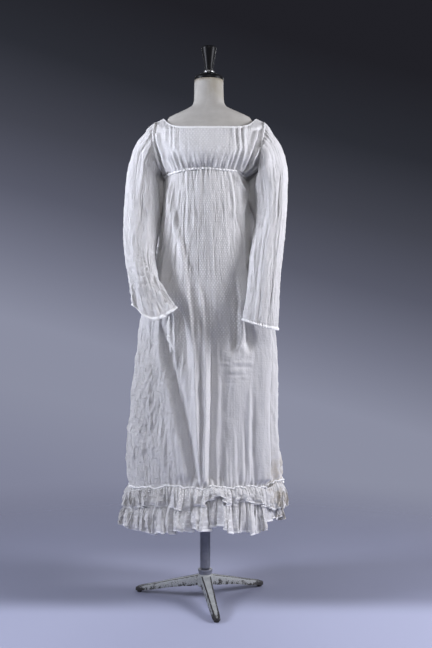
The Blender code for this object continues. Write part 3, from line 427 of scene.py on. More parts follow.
def normals_of(grid, around, centre):
    """Unit normals of a grid of points, pointing away from centre (one point, or one for each row)."""
    if around:
        du = np.roll(grid, -1, 1) - np.roll(grid, 1, 1)
    else:
        du = np.gradient(grid, axis=1)
    dv = np.gradient(grid, axis=0)
    n = unit(np.cross(du, dv))
    away = (n * (grid - centre)).sum()
    return n if away > 0 else -n


# ---------------------------------------------------------------- meshes
def finish_mesh(name, points, faces, uv, material, sharp=None, smooth=True):
    """A mesh object from arrays: uv has one pair for each corner of each face."""
    mesh = bpy.data.meshes.new(name)
    faces = np.asarray(faces, np.int32)
    count, size = faces.shape
    mesh.vertices.add(len(points))
    mesh.vertices.foreach_set("co", np.ascontiguousarray(points, np.float32).ravel())
    mesh.loops.add(count * size)
    mesh.loops.foreach_set("vertex_index", faces.ravel())
    mesh.polygons.add(count)
    mesh.polygons.foreach_set("loop_start", np.arange(count, dtype=np.int32) * size)
    mesh.polygons.foreach_set("loop_total", np.full(count, size, np.int32))
    mesh.update(calc_edges=True)
    layer = mesh.uv_layers.new(name="Cloth")
    layer.data.foreach_set("uv", np.ascontiguousarray(uv, np.float32).ravel())
    mesh.validate()
    if smooth:
        mesh.shade_smooth()
    if sharp is not None:
        ends = np.zeros(len(mesh.edges) * 2, np.int32)
        mesh.edges.foreach_get("vertices", ends)
        ends = ends.reshape(-1, 2)
        flag = (sharp[ends[:, 0]] > 0) & (sharp[ends[:, 0]] == sharp[ends[:, 1]])
        found = mesh.attributes.get("sharp_edge") or mesh.attributes.new("sharp_edge", "BOOLEAN", "EDGE")
        found.data.foreach_set("value", flag)
    mesh.materials.append(material)
    obj = bpy.data.objects.new(name, mesh)
    bpy.context.scene.collection.objects.link(obj)
    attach(obj, "root")
    return obj


def shell(name, grid, u, v, material, around=False, wall=CLOTH, centre=(0.0, 0.0, 0.0), stands=()):
    """A thin closed wall on a grid of points. wall is one number, or one for each point."""
    rows, cols = grid.shape[:2]
    n = normals_of(grid, around, np.asarray(centre, float))
    half = np.broadcast_to(np.asarray(wall, float), (rows, cols))[..., None] / 2
    outer, inner = (grid + n * half).reshape(-1, 3), (grid - n * half).reshape(-1, 3)
    r, c = np.meshgrid(np.arange(rows - 1), np.arange(cols if around else cols - 1), indexing="ij")
    r, c = r.ravel(), c.ravel()
    d = (c + 1) % cols
    quad = np.stack([r * cols + c, r * cols + d, (r + 1) * cols + d, (r + 1) * cols + c], axis=1)
    # turn the quads so that they face the same way as the normals
    p = grid.reshape(-1, 3)[quad]
    face = np.cross(p[:, 1] - p[:, 0], p[:, 3] - p[:, 0])
    if (face * n.reshape(-1, 3)[quad[:, 0]]).sum() < 0:
        order = [0, 3, 2, 1]
    else:
        order = [0, 1, 2, 3]
    cc = np.stack([c, c + 1, c + 1, c], axis=1)
    rr = np.stack([r, r, r + 1, r + 1], axis=1)
    if around:
        u = np.concatenate([u, u[:, :1] + (u[:, -1:] - u[:, :1]) * cols / (cols - 1)], axis=1)
        v = np.concatenate([v, v[:, :1]], axis=1)
    uv_quad = np.stack([u[rr, cc], v[rr, cc]], axis=-1)
    total = rows * cols
    front, back = quad[:, order], quad[:, order][:, ::-1] + total
    uv_front, uv_back = uv_quad[:, order], uv_quad[:, order][:, ::-1]
    faces, uvs = [front, back], [uv_front, uv_back]
    # rims
    loops = []
    cs = np.arange(cols if around else cols - 1)
    loops.append((cs, (cs + 1) % cols, cs, cs + 1, 0 * cs, False))
    base = (rows - 1) * cols
    loops.append((base + cs, base + (cs + 1) % cols, cs, cs + 1, 0 * cs + rows - 1, True))
    turned = order == [0, 3, 2, 1]
    for a, b, ua, ub, row, flip in loops:
        q = np.stack([a, a + total, b + total, b], axis=1)
        t = np.stack([np.stack([u[row, ua], v[row, ua]], -1)] * 2 + [np.stack([u[row, ub], v[row, ub]], -1)] * 2, axis=1)
        if flip != turned:
            q, t = q[:, ::-1], t[:, ::-1]
        faces.append(q)
        uvs.append(t)
    if not around:
        rs = np.arange(rows - 1)
        for col, flip in ((0, True), (cols - 1, False)):
            a, b = rs * cols + col, (rs + 1) * cols + col
            q = np.stack([a, a + total, b + total, b], axis=1)
            t = np.stack([np.stack([u[rs, col], v[rs, col]], -1)] * 2 + [np.stack([u[rs + 1, col], v[rs + 1, col]], -1)] * 2, axis=1)
            if flip != turned:
                q, t = q[:, ::-1], t[:, ::-1]
            faces.append(q)
            uvs.append(t)
    edge = np.zeros((2, rows, cols), int)
    edge[0, 0], edge[0, -1], edge[1, 0], edge[1, -1] = 1, 2, 3, 4
    if not around:
        edge[0, 1:-1, 0], edge[0, 1:-1, -1], edge[1, 1:-1, 0], edge[1, 1:-1, -1] = 1, 1, 3, 3
    obj = finish_mesh(
        name, np.concatenate([outer, inner]), np.concatenate(faces), np.concatenate(uvs), material, sharp=edge.ravel()
    )
    if stands:
        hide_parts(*stands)
    return obj


def lathe(name, profile, steps, material, place=(0.0, 0.0), stands=(), fine=6, corners=()):
    """A profile turned about Z and shaded smooth all over; corners is not used. Closed at the axis."""
    r, z = profile["r"], profile["z"]
    run = np.concatenate([[0.0], np.cumsum(np.hypot(np.diff(r), np.diff(z)))])
    # stations: round each corner of the profile with a small radius
    at = np.unique(np.concatenate([run, np.linspace(run[0], run[-1], fine * len(run)), np.clip(run + 0.0004, 0, run[-1]), np.clip(run - 0.0004, 0, run[-1])]))
    rr, zz = np.interp(at, run, r), np.interp(at, run, z)
    for _ in range(3):
        rr[1:-1] = (rr[:-2] + 2 * rr[1:-1] + rr[2:]) / 4
        zz[1:-1] = (zz[:-2] + 2 * zz[1:-1] + zz[2:]) / 4
    keep = rr > 1e-6
    a = np.linspace(0, 2 * math.pi, steps, endpoint=False)
    ring = np.stack(np.broadcast_arrays(rr[keep][:, None] * np.cos(a), rr[keep][:, None] * np.sin(a), zz[keep][:, None]), axis=-1)
    rows, cols = ring.shape[:2]
    points = ring.reshape(-1, 3) + np.array([*place, 0.0])
    top = np.array([[place[0], place[1], zz[0]]])
    low = np.array([[place[0], place[1], zz[-1]]])
    points = np.concatenate([points, top, low])
    rI, cI = np.meshgrid(np.arange(rows - 1), np.arange(cols), indexing="ij")
    rI, cI = rI.ravel(), cI.ravel()
    dI = (cI + 1) % cols
    quads = np.stack([rI * cols + cI, (rI + 1) * cols + cI, (rI + 1) * cols + dI, rI * cols + dI], axis=1)
    cs = np.arange(cols)
    ds = (cs + 1) % cols
    cap_top = np.stack([np.full(cols, rows * cols), cs, ds, ds], axis=1)
    cap_low = np.stack([np.full(cols, rows * cols + 1), (rows - 1) * cols + ds, (rows - 1) * cols + cs, (rows - 1) * cols + cs], axis=1)
    mesh = bpy.data.meshes.new(name)
    shape = bmesh.new()
    verts = [shape.verts.new(p) for p in points]
    layer = shape.loops.layers.uv.new("Cloth")
    for q in quads:
        f = shape.faces.new([verts[i] for i in q])
        for loop, cx in zip(f.loops, (0, 0, 1, 1)):
            loop[layer].uv = ((q[0] % cols + cx) / cols, loop.vert.co.z)
    for q in np.concatenate([cap_top, cap_low]):
        f = shape.faces.new([verts[i] for i in q[:3]])
        for loop in f.loops:
            loop[layer].uv = (loop.vert.co.x, loop.vert.co.y)
    bmesh.ops.recalc_face_normals(shape, faces=shape.faces)
    shape.to_mesh(mesh)
    shape.free()
    mesh.shade_smooth()
    mesh.materials.append(material)
    obj = bpy.data.objects.new(name, mesh)
    bpy.context.scene.collection.objects.link(obj)
    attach(obj, "root")
    if stands:
        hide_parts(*stands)
    return obj


def tube(name, path, radius, material, sides=12, closed=False, flat=1.0, tilt=None, stands=()):
    """A round or flattened cord along a row of points. radius is one number, or one for each point."""
    path = np.asarray(path, float)
    n = len(path)
    if closed:
        along = unit(np.roll(path, -1, 0) - np.roll(path, 1, 0))
    else:
        along = unit(np.gradient(path, axis=0))
    up = np.array([0.0, 0.0, 1.0]) if tilt is None else np.asarray(tilt, float)
    across = unit(np.cross(np.broadcast_to(up, along.shape), along))
    lift = np.cross(along, across)
    a = np.linspace(0, 2 * math.pi, sides, endpoint=False)
    rad = np.broadcast_to(np.asarray(radius, float), (n,))[:, None, None]
    ring = path[:, None] + rad * (np.cos(a)[None, :, None] * across[:, None] + flat * np.sin(a)[None, :, None] * lift[:, None])
    run = np.concatenate([[0.0], np.cumsum(np.linalg.norm(np.diff(path, axis=0), axis=1))])
    shape = bmesh.new()
    verts = [[shape.verts.new(p) for p in row] for row in ring]
    layer = shape.loops.layers.uv.new("Cloth")
    size = float(np.mean(rad)) * 2 * math.pi / sides
    for r in range(n if closed else n - 1):
        s = (r + 1) % n
        for c in range(sides):
            d = (c + 1) % sides
            f = shape.faces.new((verts[r][c], verts[r][d], verts[s][d], verts[s][c]))
            far = run[s] if s > r else run[-1] + size
            for loop, (cu, cv) in zip(f.loops, ((c, run[r]), (c + 1, run[r]), (c + 1, far), (c, far))):
                loop[layer].uv = (cu * size, cv)
    if not closed:
        shape.faces.new(verts[0][::-1])
        shape.faces.new(verts[-1])
    bmesh.ops.recalc_face_normals(shape, faces=shape.faces)
    mesh = bpy.data.meshes.new(name)
    shape.to_mesh(mesh)
    shape.free()
    mesh.shade_smooth()
    mesh.materials.append(material)
    obj = bpy.data.objects.new(name, mesh)
    bpy.context.scene.collection.objects.link(obj)
    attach(obj, "root")
    if stands:
        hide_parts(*stands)
    return obj


def smooth_route(points, count):
    """Evenly spaced stations on the smooth curve through a table of points."""
    points = np.asarray(points, float)
    run = np.concatenate([[0.0], np.cumsum(np.linalg.norm(np.diff(points, axis=0), axis=1))])
    at = np.linspace(0.0, run[-1], count)
    return np.stack([through(run, points[:, i], at) for i in range(3)], axis=1)


# ---------------------------------------------------------------- materials
class Nodes:
    """Short names for building a node tree."""

    def __init__(self, name):
        self.mat = bpy.data.materials.new(name)
        self.mat.use_nodes = True
        self.tree = self.mat.node_tree
        self.tree.nodes.clear()
        self.out = self.node("ShaderNodeOutputMaterial")

    def node(self, kind, **settings):
        made = self.tree.nodes.new(kind)
        for key, value in settings.items():
            setattr(made, key, value)
        return made

    def link(self, a, b):
        self.tree.links.new(a, b)

    def put(self, socket, value):
        if isinstance(value, bpy.types.NodeSocket):
            self.link(value, socket)
        elif value is not None:
            socket.default_value = value

    def math(self, how, a, b=None, c=None, clamp=False):
        n = self.node("ShaderNodeMath", operation=how, use_clamp=clamp)
        for socket, value in zip(n.inputs, (a, b, c)):
            self.put(socket, value)
        return n.outputs[0]

    def ramp(self, value, low, high, to_low=0.0, to_high=1.0):
        n = self.node("ShaderNodeMapRange", interpolation_type="SMOOTHSTEP")
        self.put(n.inputs["Value"], value)
        n.inputs["From Min"].default_value = low
        n.inputs["From Max"].default_value = high
        n.inputs["To Min"].default_value = to_low
        n.inputs["To Max"].default_value = to_high
        return n.outputs[0]

    def mix(self, share, a, b):
        n = self.node("ShaderNodeMix", data_type="RGBA")
        self.put(n.inputs[0], share)
        for socket, value in ((n.inputs[6], a), (n.inputs[7], b)):
            self.put(socket, (*value, 1.0) if isinstance(value, tuple) and len(value) == 3 else value)
        return n.outputs[2]

    def noise(self, vector, scale, detail=2.0, rough=0.5, distortion=0.0):
        n = self.node("ShaderNodeTexNoise")
        self.put(n.inputs["Vector"], vector)
        n.inputs["Scale"].default_value = scale
        n.inputs["Detail"].default_value = detail
        n.inputs["Roughness"].default_value = rough
        n.inputs["Distortion"].default_value = distortion
        return n.outputs["Fac"]

    def place(self, vector, scale=(1, 1, 1), shift=(0, 0, 0), turn=(0, 0, 0)):
        n = self.node("ShaderNodeMapping")
        self.put(n.inputs["Vector"], vector)
        n.inputs["Scale"].default_value = scale
        n.inputs["Location"].default_value = shift
        n.inputs["Rotation"].default_value = turn
        return n.outputs[0]

    def bump(self, height, distance, strength=1.0, normal=None):
        n = self.node("ShaderNodeBump")
        self.put(n.inputs["Height"], height)
        n.inputs["Distance"].default_value = distance
        n.inputs["Strength"].default_value = strength
        if normal is not None:
            self.link(normal, n.inputs["Normal"])
        return n.outputs[0]

    def uv(self):
        return self.node("ShaderNodeUVMap", uv_map="Cloth").outputs[0]

    def solid(self, color, rough, normal=None, metal=0.0, **more):
        n = self.node("ShaderNodeBsdfPrincipled")
        self.put(n.inputs["Base Color"], (*color, 1.0) if isinstance(color, tuple) else color)
        self.put(n.inputs["Roughness"], rough)
        self.put(n.inputs["Metallic"], metal)
        for key, value in more.items():
            self.put(n.inputs[key.replace("_", " ").title()], value)
        if normal is not None:
            self.link(normal, n.inputs["Normal"])
        return n

    def done(self, shader):
        self.link(shader, self.out.inputs["Surface"])
        return self.mat


SPOT_ACROSS, SPOT_DOWN = 0.0125, 0.0146  # pitch of the woven spots, every second row between the others


def muslin(name, color=(0.820, 0.814, 0.814), stain=False, crease=0.0009, sheer=0.13, glow=0.16, dots=0.90):
    """White cotton muslin with small woven spots: sheer ground, closer spots, crinkled along the warp."""
    n = Nodes(name)
    uv = n.uv()
    parts = n.node("ShaderNodeSeparateXYZ")
    n.link(uv, parts.inputs[0])
    u, v = parts.outputs[0], parts.outputs[1]
    a = n.math("DIVIDE", u, SPOT_ACROSS)
    b = n.math("DIVIDE", v, SPOT_DOWN)
    pair = n.node("ShaderNodeCombineXYZ")
    n.link(n.math("ADD", a, b), pair.inputs[0])
    n.link(n.math("SUBTRACT", a, b), pair.inputs[1])
    cell = n.node("ShaderNodeTexVoronoi", voronoi_dimensions="2D", feature="F1")
    cell.inputs["Scale"].default_value = 1.0
    cell.inputs["Randomness"].default_value = 0.17
    n.link(pair.outputs[0], cell.inputs["Vector"])
    patchy = n.noise(n.place(uv, scale=(30, 26, 1)), 1.0, 3.0)
    spot = n.math("MULTIPLY", n.ramp(cell.outputs["Distance"], 0.33, 0.17), n.ramp(patchy, 0.35, 0.62, 0.25, 1.0))
    # threads: warp and weft 0.55 mm apart, uneven in thickness
    warp = n.math("SINE", n.math("MULTIPLY", u, 2 * math.pi / 0.00085))
    weft = n.math("SINE", n.math("MULTIPLY", v, 2 * math.pi / 0.00085))
    weave = n.math("MULTIPLY_ADD", n.math("ADD", warp, weft), 0.25, 0.5)
    slub = n.noise(n.place(uv, scale=(40, 900, 1)), 1.0, 1.0)
    slub2 = n.noise(n.place(uv, scale=(900, 30, 1)), 1.0, 1.0)
    thread = n.math("ADD", n.math("MULTIPLY", slub, 0.5), n.math("MULTIPLY", slub2, 0.5))
    # crinkles along the warp, and small crumples
    long_ = n.noise(n.place(uv, scale=(135, 13, 1)), 1.0, 3.0, 0.55, 0.6)
    fine = n.noise(n.place(uv, scale=(330, 60, 1)), 1.0, 2.0, 0.5, 0.3)
    crumple = n.noise(n.place(uv, scale=(70, 60, 1)), 1.0, 3.0, 0.55, 0.8)
    level = n.noise(n.place(uv, scale=(42, 165, 1)), 1.0, 2.0, 0.5, 0.5)
    small = n.math("MULTIPLY_ADD", crumple, 0.80, n.math("MULTIPLY", level, 0.42))
    height = n.math("MULTIPLY_ADD", long_, 1.0, n.math("MULTIPLY_ADD", fine, 0.35, small))
    # low on the skirt the cloth is more crumpled towards the right hand and calmer towards the left
    low_ = n.math("MULTIPLY", n.ramp(v, 0.28, 0.34), n.ramp(v, 0.98, 0.80))
    more = n.math("MULTIPLY", n.ramp(u, -0.21, -0.06, 2.3, 0.0), n.math("MAXIMUM", low_, n.ramp(v, 10.0, 20.0, 0.0, 0.9)))
    less = n.math("MULTIPLY", n.math("MULTIPLY", low_, n.ramp(u, -0.04, 0.08)), 0.55)
    height = n.math("MULTIPLY", height, n.math("SUBTRACT", n.math("ADD", more, 1.0), less))
    normal = n.bump(height, crease)
    normal = n.bump(n.math("MULTIPLY_ADD", spot, 0.8, n.math("MULTIPLY", weave, 0.25)), 0.00020, 0.5, normal)
    # colour
    cloudy = n.noise(n.place(uv, scale=(9, 7, 1)), 1.0, 3.0)
    tone = n.mix(n.ramp(cloudy, 0.35, 0.7), tuple(c * 0.965 for c in color), color)
    tone = n.mix(n.math("MULTIPLY", n.ramp(thread, 0.44, 0.60), 0.35), tone, tuple(c * 0.93 for c in color))
    # painted shade: where v is high and u near the middle (the upper centre front of the skirt) the ground is painted
    # darker, standing in for shade seen through the sheer cloth; the spots there are drawn whiter and less see-through
    painted_shade_centre = n.math("MULTIPLY", n.ramp(v, 0.80, 0.95, 0.12, 1.0), n.ramp(n.math("ABSOLUTE", u), 0.11, 0.18, 1.0, 0.15))
    tone = n.mix(n.math("MULTIPLY", painted_shade_centre, 0.75), tone, tuple(c * 0.925 for c in color))
    tone = n.mix(n.math("MULTIPLY", spot, n.math("MULTIPLY", painted_shade_centre, dots)), tone, (0.98, 0.98, 0.98))
    if stain:
        where = n.node("ShaderNodeTexCoord").outputs["Object"]
        xyz = n.node("ShaderNodeSeparateXYZ")
        n.link(where, xyz.inputs[0])
        side = n.ramp(xyz.outputs[0], 0.185, 0.245)
        low = n.ramp(xyz.outputs[2], 0.52, 0.44)
        blot = n.ramp(n.noise(where, 38.0, 3.0), 0.40, 0.62)
        tone = n.mix(n.math("MULTIPLY", n.math("MULTIPLY", side, low), n.math("MULTIPLY", blot, 0.55)), tone, (0.62, 0.55, 0.44))
    body = n.solid(tone, 0.88, normal)
    body.inputs["Specular IOR Level"].default_value = 0.25
    body.inputs["Sheen Weight"].default_value = 0.12
    body.inputs["Sheen Roughness"].default_value = 0.5
    through_ = n.node("ShaderNodeBsdfTranslucent")
    n.put(through_.inputs["Color"], tone)
    n.link(normal, through_.inputs["Normal"])
    mixed = n.node("ShaderNodeMixShader")
    mixed.inputs[0].default_value = glow
    n.link(body.outputs[0], mixed.inputs[1])
    n.link(through_.outputs[0], mixed.inputs[2])
    clear = n.node("ShaderNodeBsdfTransparent")
    gap = n.math("MULTIPLY", n.math("SUBTRACT", 1.0, n.math("MULTIPLY", spot, n.math("MULTIPLY", painted_shade_centre, 0.8))), n.ramp(thread, 0.40, 0.62, sheer * 1.15, sheer * 0.7))
    whole = n.node("ShaderNodeMixShader")
    n.link(gap, whole.inputs[0])
    n.link(mixed.outputs[0], whole.inputs[1])
    n.link(clear.outputs[0], whole.inputs[2])
    return n.done(whole.outputs[0])


def white_tape(name, color=(0.90, 0.90, 0.90), pitch=0.0011):
    """Close white cotton tape or piping, ribbed across."""
    n = Nodes(name)
    uv = n.uv()
    parts = n.node("ShaderNodeSeparateXYZ")
    n.link(uv, parts.inputs[0])
    rib = n.math("SINE", n.math("MULTIPLY", parts.outputs[1], 2 * math.pi / pitch))
    grain = n.noise(n.place(uv, scale=(700, 420, 1)), 1.0, 2.0)
    soft = n.noise(n.place(uv, scale=(60, 60, 1)), 1.0, 2.0)
    normal = n.bump(n.math("MULTIPLY_ADD", rib, 0.3, grain), 0.00025, 0.8)
    normal = n.bump(soft, 0.0010, 0.6, normal)
    tone = n.mix(n.ramp(soft, 0.3, 0.7), tuple(c * 0.95 for c in color), color)
    shader = n.solid(tone, 0.85, normal)
    shader.inputs["Specular IOR Level"].default_value = 0.25
    shader.inputs["Sheen Weight"].default_value = 0.1
    return n.done(shader.outputs[0])


def canvas():
    """Ivory-grey plain canvas over the form, darker and browner in a band at the top of the neck and over the upper
    neck on the wearer's left.
    """
    n = Nodes("canvas_form")
    where = n.node("ShaderNodeTexCoord").outputs["Object"]
    uv = n.uv()
    parts = n.node("ShaderNodeSeparateXYZ")
    n.link(uv, parts.inputs[0])
    warp = n.math("SINE", n.math("MULTIPLY", parts.outputs[0], 2 * math.pi / 0.0011))
    weft = n.math("SINE", n.math("MULTIPLY", parts.outputs[1], 2 * math.pi / 0.0013))
    slub = n.noise(n.place(uv, scale=(35, 520, 1)), 1.0, 2.0)
    soft = n.noise(where, 14.0, 4.0, 0.6)
    height = n.math("MULTIPLY_ADD", n.math("ADD", warp, weft), 0.22, slub)
    normal = n.bump(height, 0.00035, 0.8)
    normal = n.bump(soft, 0.0014, 0.5, normal)
    tone = n.mix(n.ramp(soft, 0.3, 0.7), (0.385, 0.371, 0.344), (0.455, 0.441, 0.413))
    tone = n.mix(n.math("MULTIPLY", n.ramp(slub, 0.45, 0.65), 0.35), tone, (0.455, 0.445, 0.42))
    xyz = n.node("ShaderNodeSeparateXYZ")
    n.link(where, xyz.inputs[0])
    rim = n.ramp(n.math("MULTIPLY_ADD", n.noise(where, 60.0, 3.0), 0.012, xyz.outputs[2]), 1.748, 1.764)
    tone = n.mix(n.math("MULTIPLY", rim, 0.6), tone, (0.20, 0.155, 0.09))
    high = n.math("MULTIPLY", n.ramp(xyz.outputs[2], 1.672, 1.715), n.ramp(xyz.outputs[0], -0.010, 0.030))
    tone = n.mix(n.math("MULTIPLY", high, n.ramp(n.noise(n.place(where, scale=(1, 1, 0.5)), 42.0, 3.0), 0.35, 0.65, 0.15, 0.60)), tone, (0.330, 0.300, 0.225))
    shader = n.solid(tone, 0.86, normal)
    shader.inputs["Specular IOR Level"].default_value = 0.3
    return n.done(shader.outputs[0])


def lacquer():
    """Black gloss lacquer on turned wood, with faint turning rings and dust."""
    n = Nodes("black_lacquer_gloss")
    where = n.node("ShaderNodeTexCoord").outputs["Object"]
    ring = n.noise(n.place(where, scale=(6, 6, 700)), 1.0, 2.0)
    speck = n.noise(where, 900.0, 2.0)
    normal = n.bump(ring, 0.00010, 0.35)
    rough = n.ramp(speck, 0.55, 0.75, 0.36, 0.48)
    tone = n.mix(n.ramp(speck, 0.62, 0.78), (0.005, 0.005, 0.006), (0.020, 0.020, 0.021))
    shader = n.solid(tone, rough, normal)
    shader.inputs["Specular IOR Level"].default_value = 0.12
    return n.done(shader.outputs[0])


def nickel():
    n = Nodes("nickel_ring")
    where = n.node("ShaderNodeTexCoord").outputs["Object"]
    brushed = n.noise(n.place(where, scale=(30, 30, 2500)), 1.0, 2.0)
    blotch = n.noise(where, 120.0, 3.0)
    normal = n.bump(brushed, 0.00008, 0.5)
    shader = n.solid(n.mix(blotch, (0.42, 0.42, 0.43), (0.62, 0.62, 0.61)), n.ramp(blotch, 0.3, 0.7, 0.20, 0.38), normal, metal=1.0)
    return n.done(shader.outputs[0])


def steel_paint():
    """Dark slate-grey paint on the tube: smooth with orange peel and long scuffs."""
    n = Nodes("grey_paint_tube")
    where = n.node("ShaderNodeTexCoord").outputs["Object"]
    peel = n.noise(where, 420.0, 2.0)
    scuff = n.ramp(n.noise(n.place(where, scale=(260, 260, 9)), 1.0, 4.0, 0.6), 0.60, 0.72)
    dust = n.noise(where, 45.0, 4.0, 0.6)
    tone = n.mix(n.ramp(dust, 0.35, 0.7), (0.185, 0.194, 0.234), (0.240, 0.248, 0.292))
    tone = n.mix(n.math("MULTIPLY", scuff, 0.5), tone, (0.24, 0.245, 0.265))
    normal = n.bump(peel, 0.00012, 0.6)
    shader = n.solid(tone, n.ramp(dust, 0.3, 0.7, 0.36, 0.50), normal, metal=0.25)
    return n.done(shader.outputs[0])


def cast_paint():
    """Light grey-green paint on the casting, chipped to dark iron at the edges and the tips."""
    n = Nodes("grey_paint_cast")
    where = n.node("ShaderNodeTexCoord").outputs["Object"]
    parts = n.node("ShaderNodeSeparateXYZ")
    n.link(n.uv(), parts.inputs[0])
    edge = parts.outputs[0]  # 1 on a raised edge of the casting, 0 between
    tip = parts.outputs[1]  # metres from the axis
    big = n.noise(where, 70.0, 5.0, 0.65)
    small = n.noise(where, 330.0, 4.0, 0.65)
    rough_cast = n.noise(where, 190.0, 4.0, 0.6)
    wear = n.math("ADD", n.math("MULTIPLY", edge, 0.30), n.math("MULTIPLY", n.ramp(tip, 0.20, 0.26), 0.16))
    chip = n.ramp(n.math("ADD", n.math("MULTIPLY_ADD", small, 0.45, n.math("MULTIPLY", big, 0.55)), wear), 0.66, 0.72)
    tone = n.mix(n.ramp(big, 0.3, 0.7), (0.300, 0.314, 0.322), (0.430, 0.445, 0.440))
    tone = n.mix(n.math("MULTIPLY", n.ramp(small, 0.5, 0.7), 0.35), tone, (0.46, 0.465, 0.45))
    tone = n.mix(chip, tone, (0.028, 0.026, 0.026))
    normal = n.bump(rough_cast, 0.0009, 0.6)
    normal = n.bump(chip, 0.0003, -0.8, normal)
    shader = n.solid(tone, n.math("MULTIPLY_ADD", chip, 0.18, 0.46), normal, metal=0.15)
    return n.done(shader.outputs[0])


def rubber():
    n = Nodes("black_rubber_pad")
    where = n.node("ShaderNodeTexCoord").outputs["Object"]
    grain = n.noise(where, 600.0, 3.0)
    tone = n.mix(grain, (0.010, 0.010, 0.010), (0.026, 0.025, 0.024))
    return n.done(n.solid(tone, 0.82, n.bump(grain, 0.0002, 0.5)).outputs[0])


MUSLIN_SKIRT = muslin("muslin_skirt", stain=True, crease=0.0031)
MUSLIN_SLEEVE = muslin("muslin_sleeve", color=(0.865, 0.860, 0.865), crease=0.0038, sheer=0.07, glow=0.20)
MUSLIN_BODICE = muslin("muslin_bodice", color=(0.830, 0.827, 0.832), crease=0.0024, sheer=0.08, glow=0.16, dots=0.45)
MUSLIN_FLOUNCE = muslin("muslin_flounce", stain=True, crease=0.0036, sheer=0.12)
TAPE_WHITE = white_tape("tape_white")
PIPING_WHITE = white_tape("piping_white", pitch=0.0018)
CANVAS, LACQUER, NICKEL = canvas(), lacquer(), nickel()
STEEL_PAINT, CAST_PAINT, RUBBER = steel_paint(), cast_paint(), rubber()


# ---------------------------------------------------------------- the tie at the right cuff
def make_tie():
    """One tape hangs from the cuff through a knot to its free end, and a second end leaves the knot."""
    points = TIE + [TIE_KNOT] + TIE_END_A
    path = smooth_route(points, 46)
    run = np.concatenate([[0.0], np.cumsum(np.linalg.norm(np.diff(path, axis=0), axis=1))])
    width = np.interp(run / run[-1], [0, 0.10, 0.20, 0.45, 0.53, 0.60, 0.9, 1.0], [0.0018, 0.0018, 0.0046, 0.0054, 0.0026, 0.0026, 0.0030, 0.0018])
    path = path + stack(0.0006 * np.sin(run * 160), 0 * run, 0 * run)
    tape = tube("cuff_tie_tape", path, width, TAPE_WHITE, sides=12, flat=0.36, tilt=(0.25, 1.0, 0.1), stands=("cuff_tie", "cuff_tie_end_a"))
    knot_grid = bmesh.new()
    bmesh.ops.create_icosphere(knot_grid, subdivisions=4, radius=1.0)
    layer = knot_grid.loops.layers.uv.new("Cloth")
    for vert in knot_grid.verts:
        x, y, z = vert.co
        turn = math.atan2(z, y)
        wave = 1 + 0.10 * math.cos(2 * turn + 4.0 * x) + 0.06 * math.sin(5 * x + 3 * turn)
        vert.co = (x * 0.0060, y * 0.0042 * wave, z * 0.0038 * wave)
    for face in knot_grid.faces:
        for loop in face.loops:
            loop[layer].uv = (loop.vert.co.x, loop.vert.co.z)
    mesh = bpy.data.meshes.new("cuff_tie_wrap")
    knot_grid.to_mesh(mesh)
    knot_grid.free()
    mesh.transform(Matrix.Translation(TIE_KNOT))
    mesh.shade_smooth()
    mesh.materials.append(TAPE_WHITE)
    knot = bpy.data.objects.new("cuff_tie_wrap", mesh)
    bpy.context.scene.collection.objects.link(knot)
    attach(knot, "root")
    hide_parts("cuff_tie_knot")
    end = smooth_route([TIE_KNOT] + TIE_END_B, 26)
    run_b = np.concatenate([[0.0], np.cumsum(np.linalg.norm(np.diff(end, axis=0), axis=1))])
    width_b = np.interp(run_b / run_b[-1], [0, 0.2, 0.85, 1.0], [0.0024, 0.0033, 0.0035, 0.0018])
    second = tube("cuff_tie_second_end", end, width_b, TAPE_WHITE, sides=12, flat=0.36, tilt=(0.5, 1.0, 0.0), stands=("cuff_tie_end_b",))
    tuple(path[0])
    [tuple(p) for p in path]
    [tuple(p) for p in end]


make_tie()


# ---------------------------------------------------------------- surfaces, as in the CAD
def skirt_plain(degrees, z):
    """The skirt without its folds."""
    a = np.radians(degrees)
    right, left, front, back, middle = (
        through(SKIRT["z"], SKIRT[n], z) for n in ("right", "left", "front", "back", "middle")
    )
    x = (left + right) / 2 + (left - right) / 2 * np.sin(a)
    y = middle - np.cos(a) * np.where(np.cos(a) > 0, middle - front, back - middle)
    return stack(x, y, z)


BACK_FULLNESS = table(("z", "out"), [(0.98, 0.0), (1.10, 0.004), (1.22, 0.014), (1.30, 0.024), (1.36, 0.029), (1.395, 0.026), (1.418, 0.013), (1.428, 0.004), (1.445, 0.0)])


def back_fullness(degrees, z):
    """The gathered back breadths stand out beside the body, behind the arms."""
    d = np.abs((degrees + 180.0) % 360.0 - 180.0)
    return through(BACK_FULLNESS["z"], BACK_FULLNESS["out"], z) * ease(90.0, 106.0, d) * ease(168.0, 128.0, d)


def outward(degrees, z):
    """Level direction that leaves the skirt at right angles."""
    run = unit(skirt_plain(degrees + 0.5, z) - skirt_plain(degrees - 0.5, z))
    return stack(run[..., 1], -run[..., 0], 0 * run[..., 0])


def armhole(side, turn):
    """A point on the armhole. turn is 0 at the shoulder, 90 at the front, 180 under the arm."""
    t = np.radians(turn)
    deep = np.where(np.sin(t) > 0, ARM_FRONT, ARM_BACK)
    across = ARM_CENTRE[0] + ARM_LEAN * np.cos(t) + ARM_BOW * np.sin(t) ** 2
    if side > 0:  # the front of the left armhole is drawn in towards the chest
        across = across - 0.0150 * np.exp(-(((np.asarray(turn) % 360.0 - 92.0) / 42.0) ** 2))
    return stack(FORM_X + side * across, ARM_CENTRE[1] - deep * np.sin(t), ARM_CENTRE[2] + ARM_HEIGHT * np.cos(t))


def bodice_edge(side, front):
    turn = 1.0 if front else -1.0
    low = skirt_plain(np.array(side * SIDE_SEAM[0 if front else 1]), np.array(WAIST_Z + RIM))
    ring = armhole(side, turn * np.arange(6, -1, -1) * 22.5)
    middle = (low + ring[0]) / 2 + np.array([side * 0.002, 0.0, 0.0])
    return np.vstack([low, middle, ring])


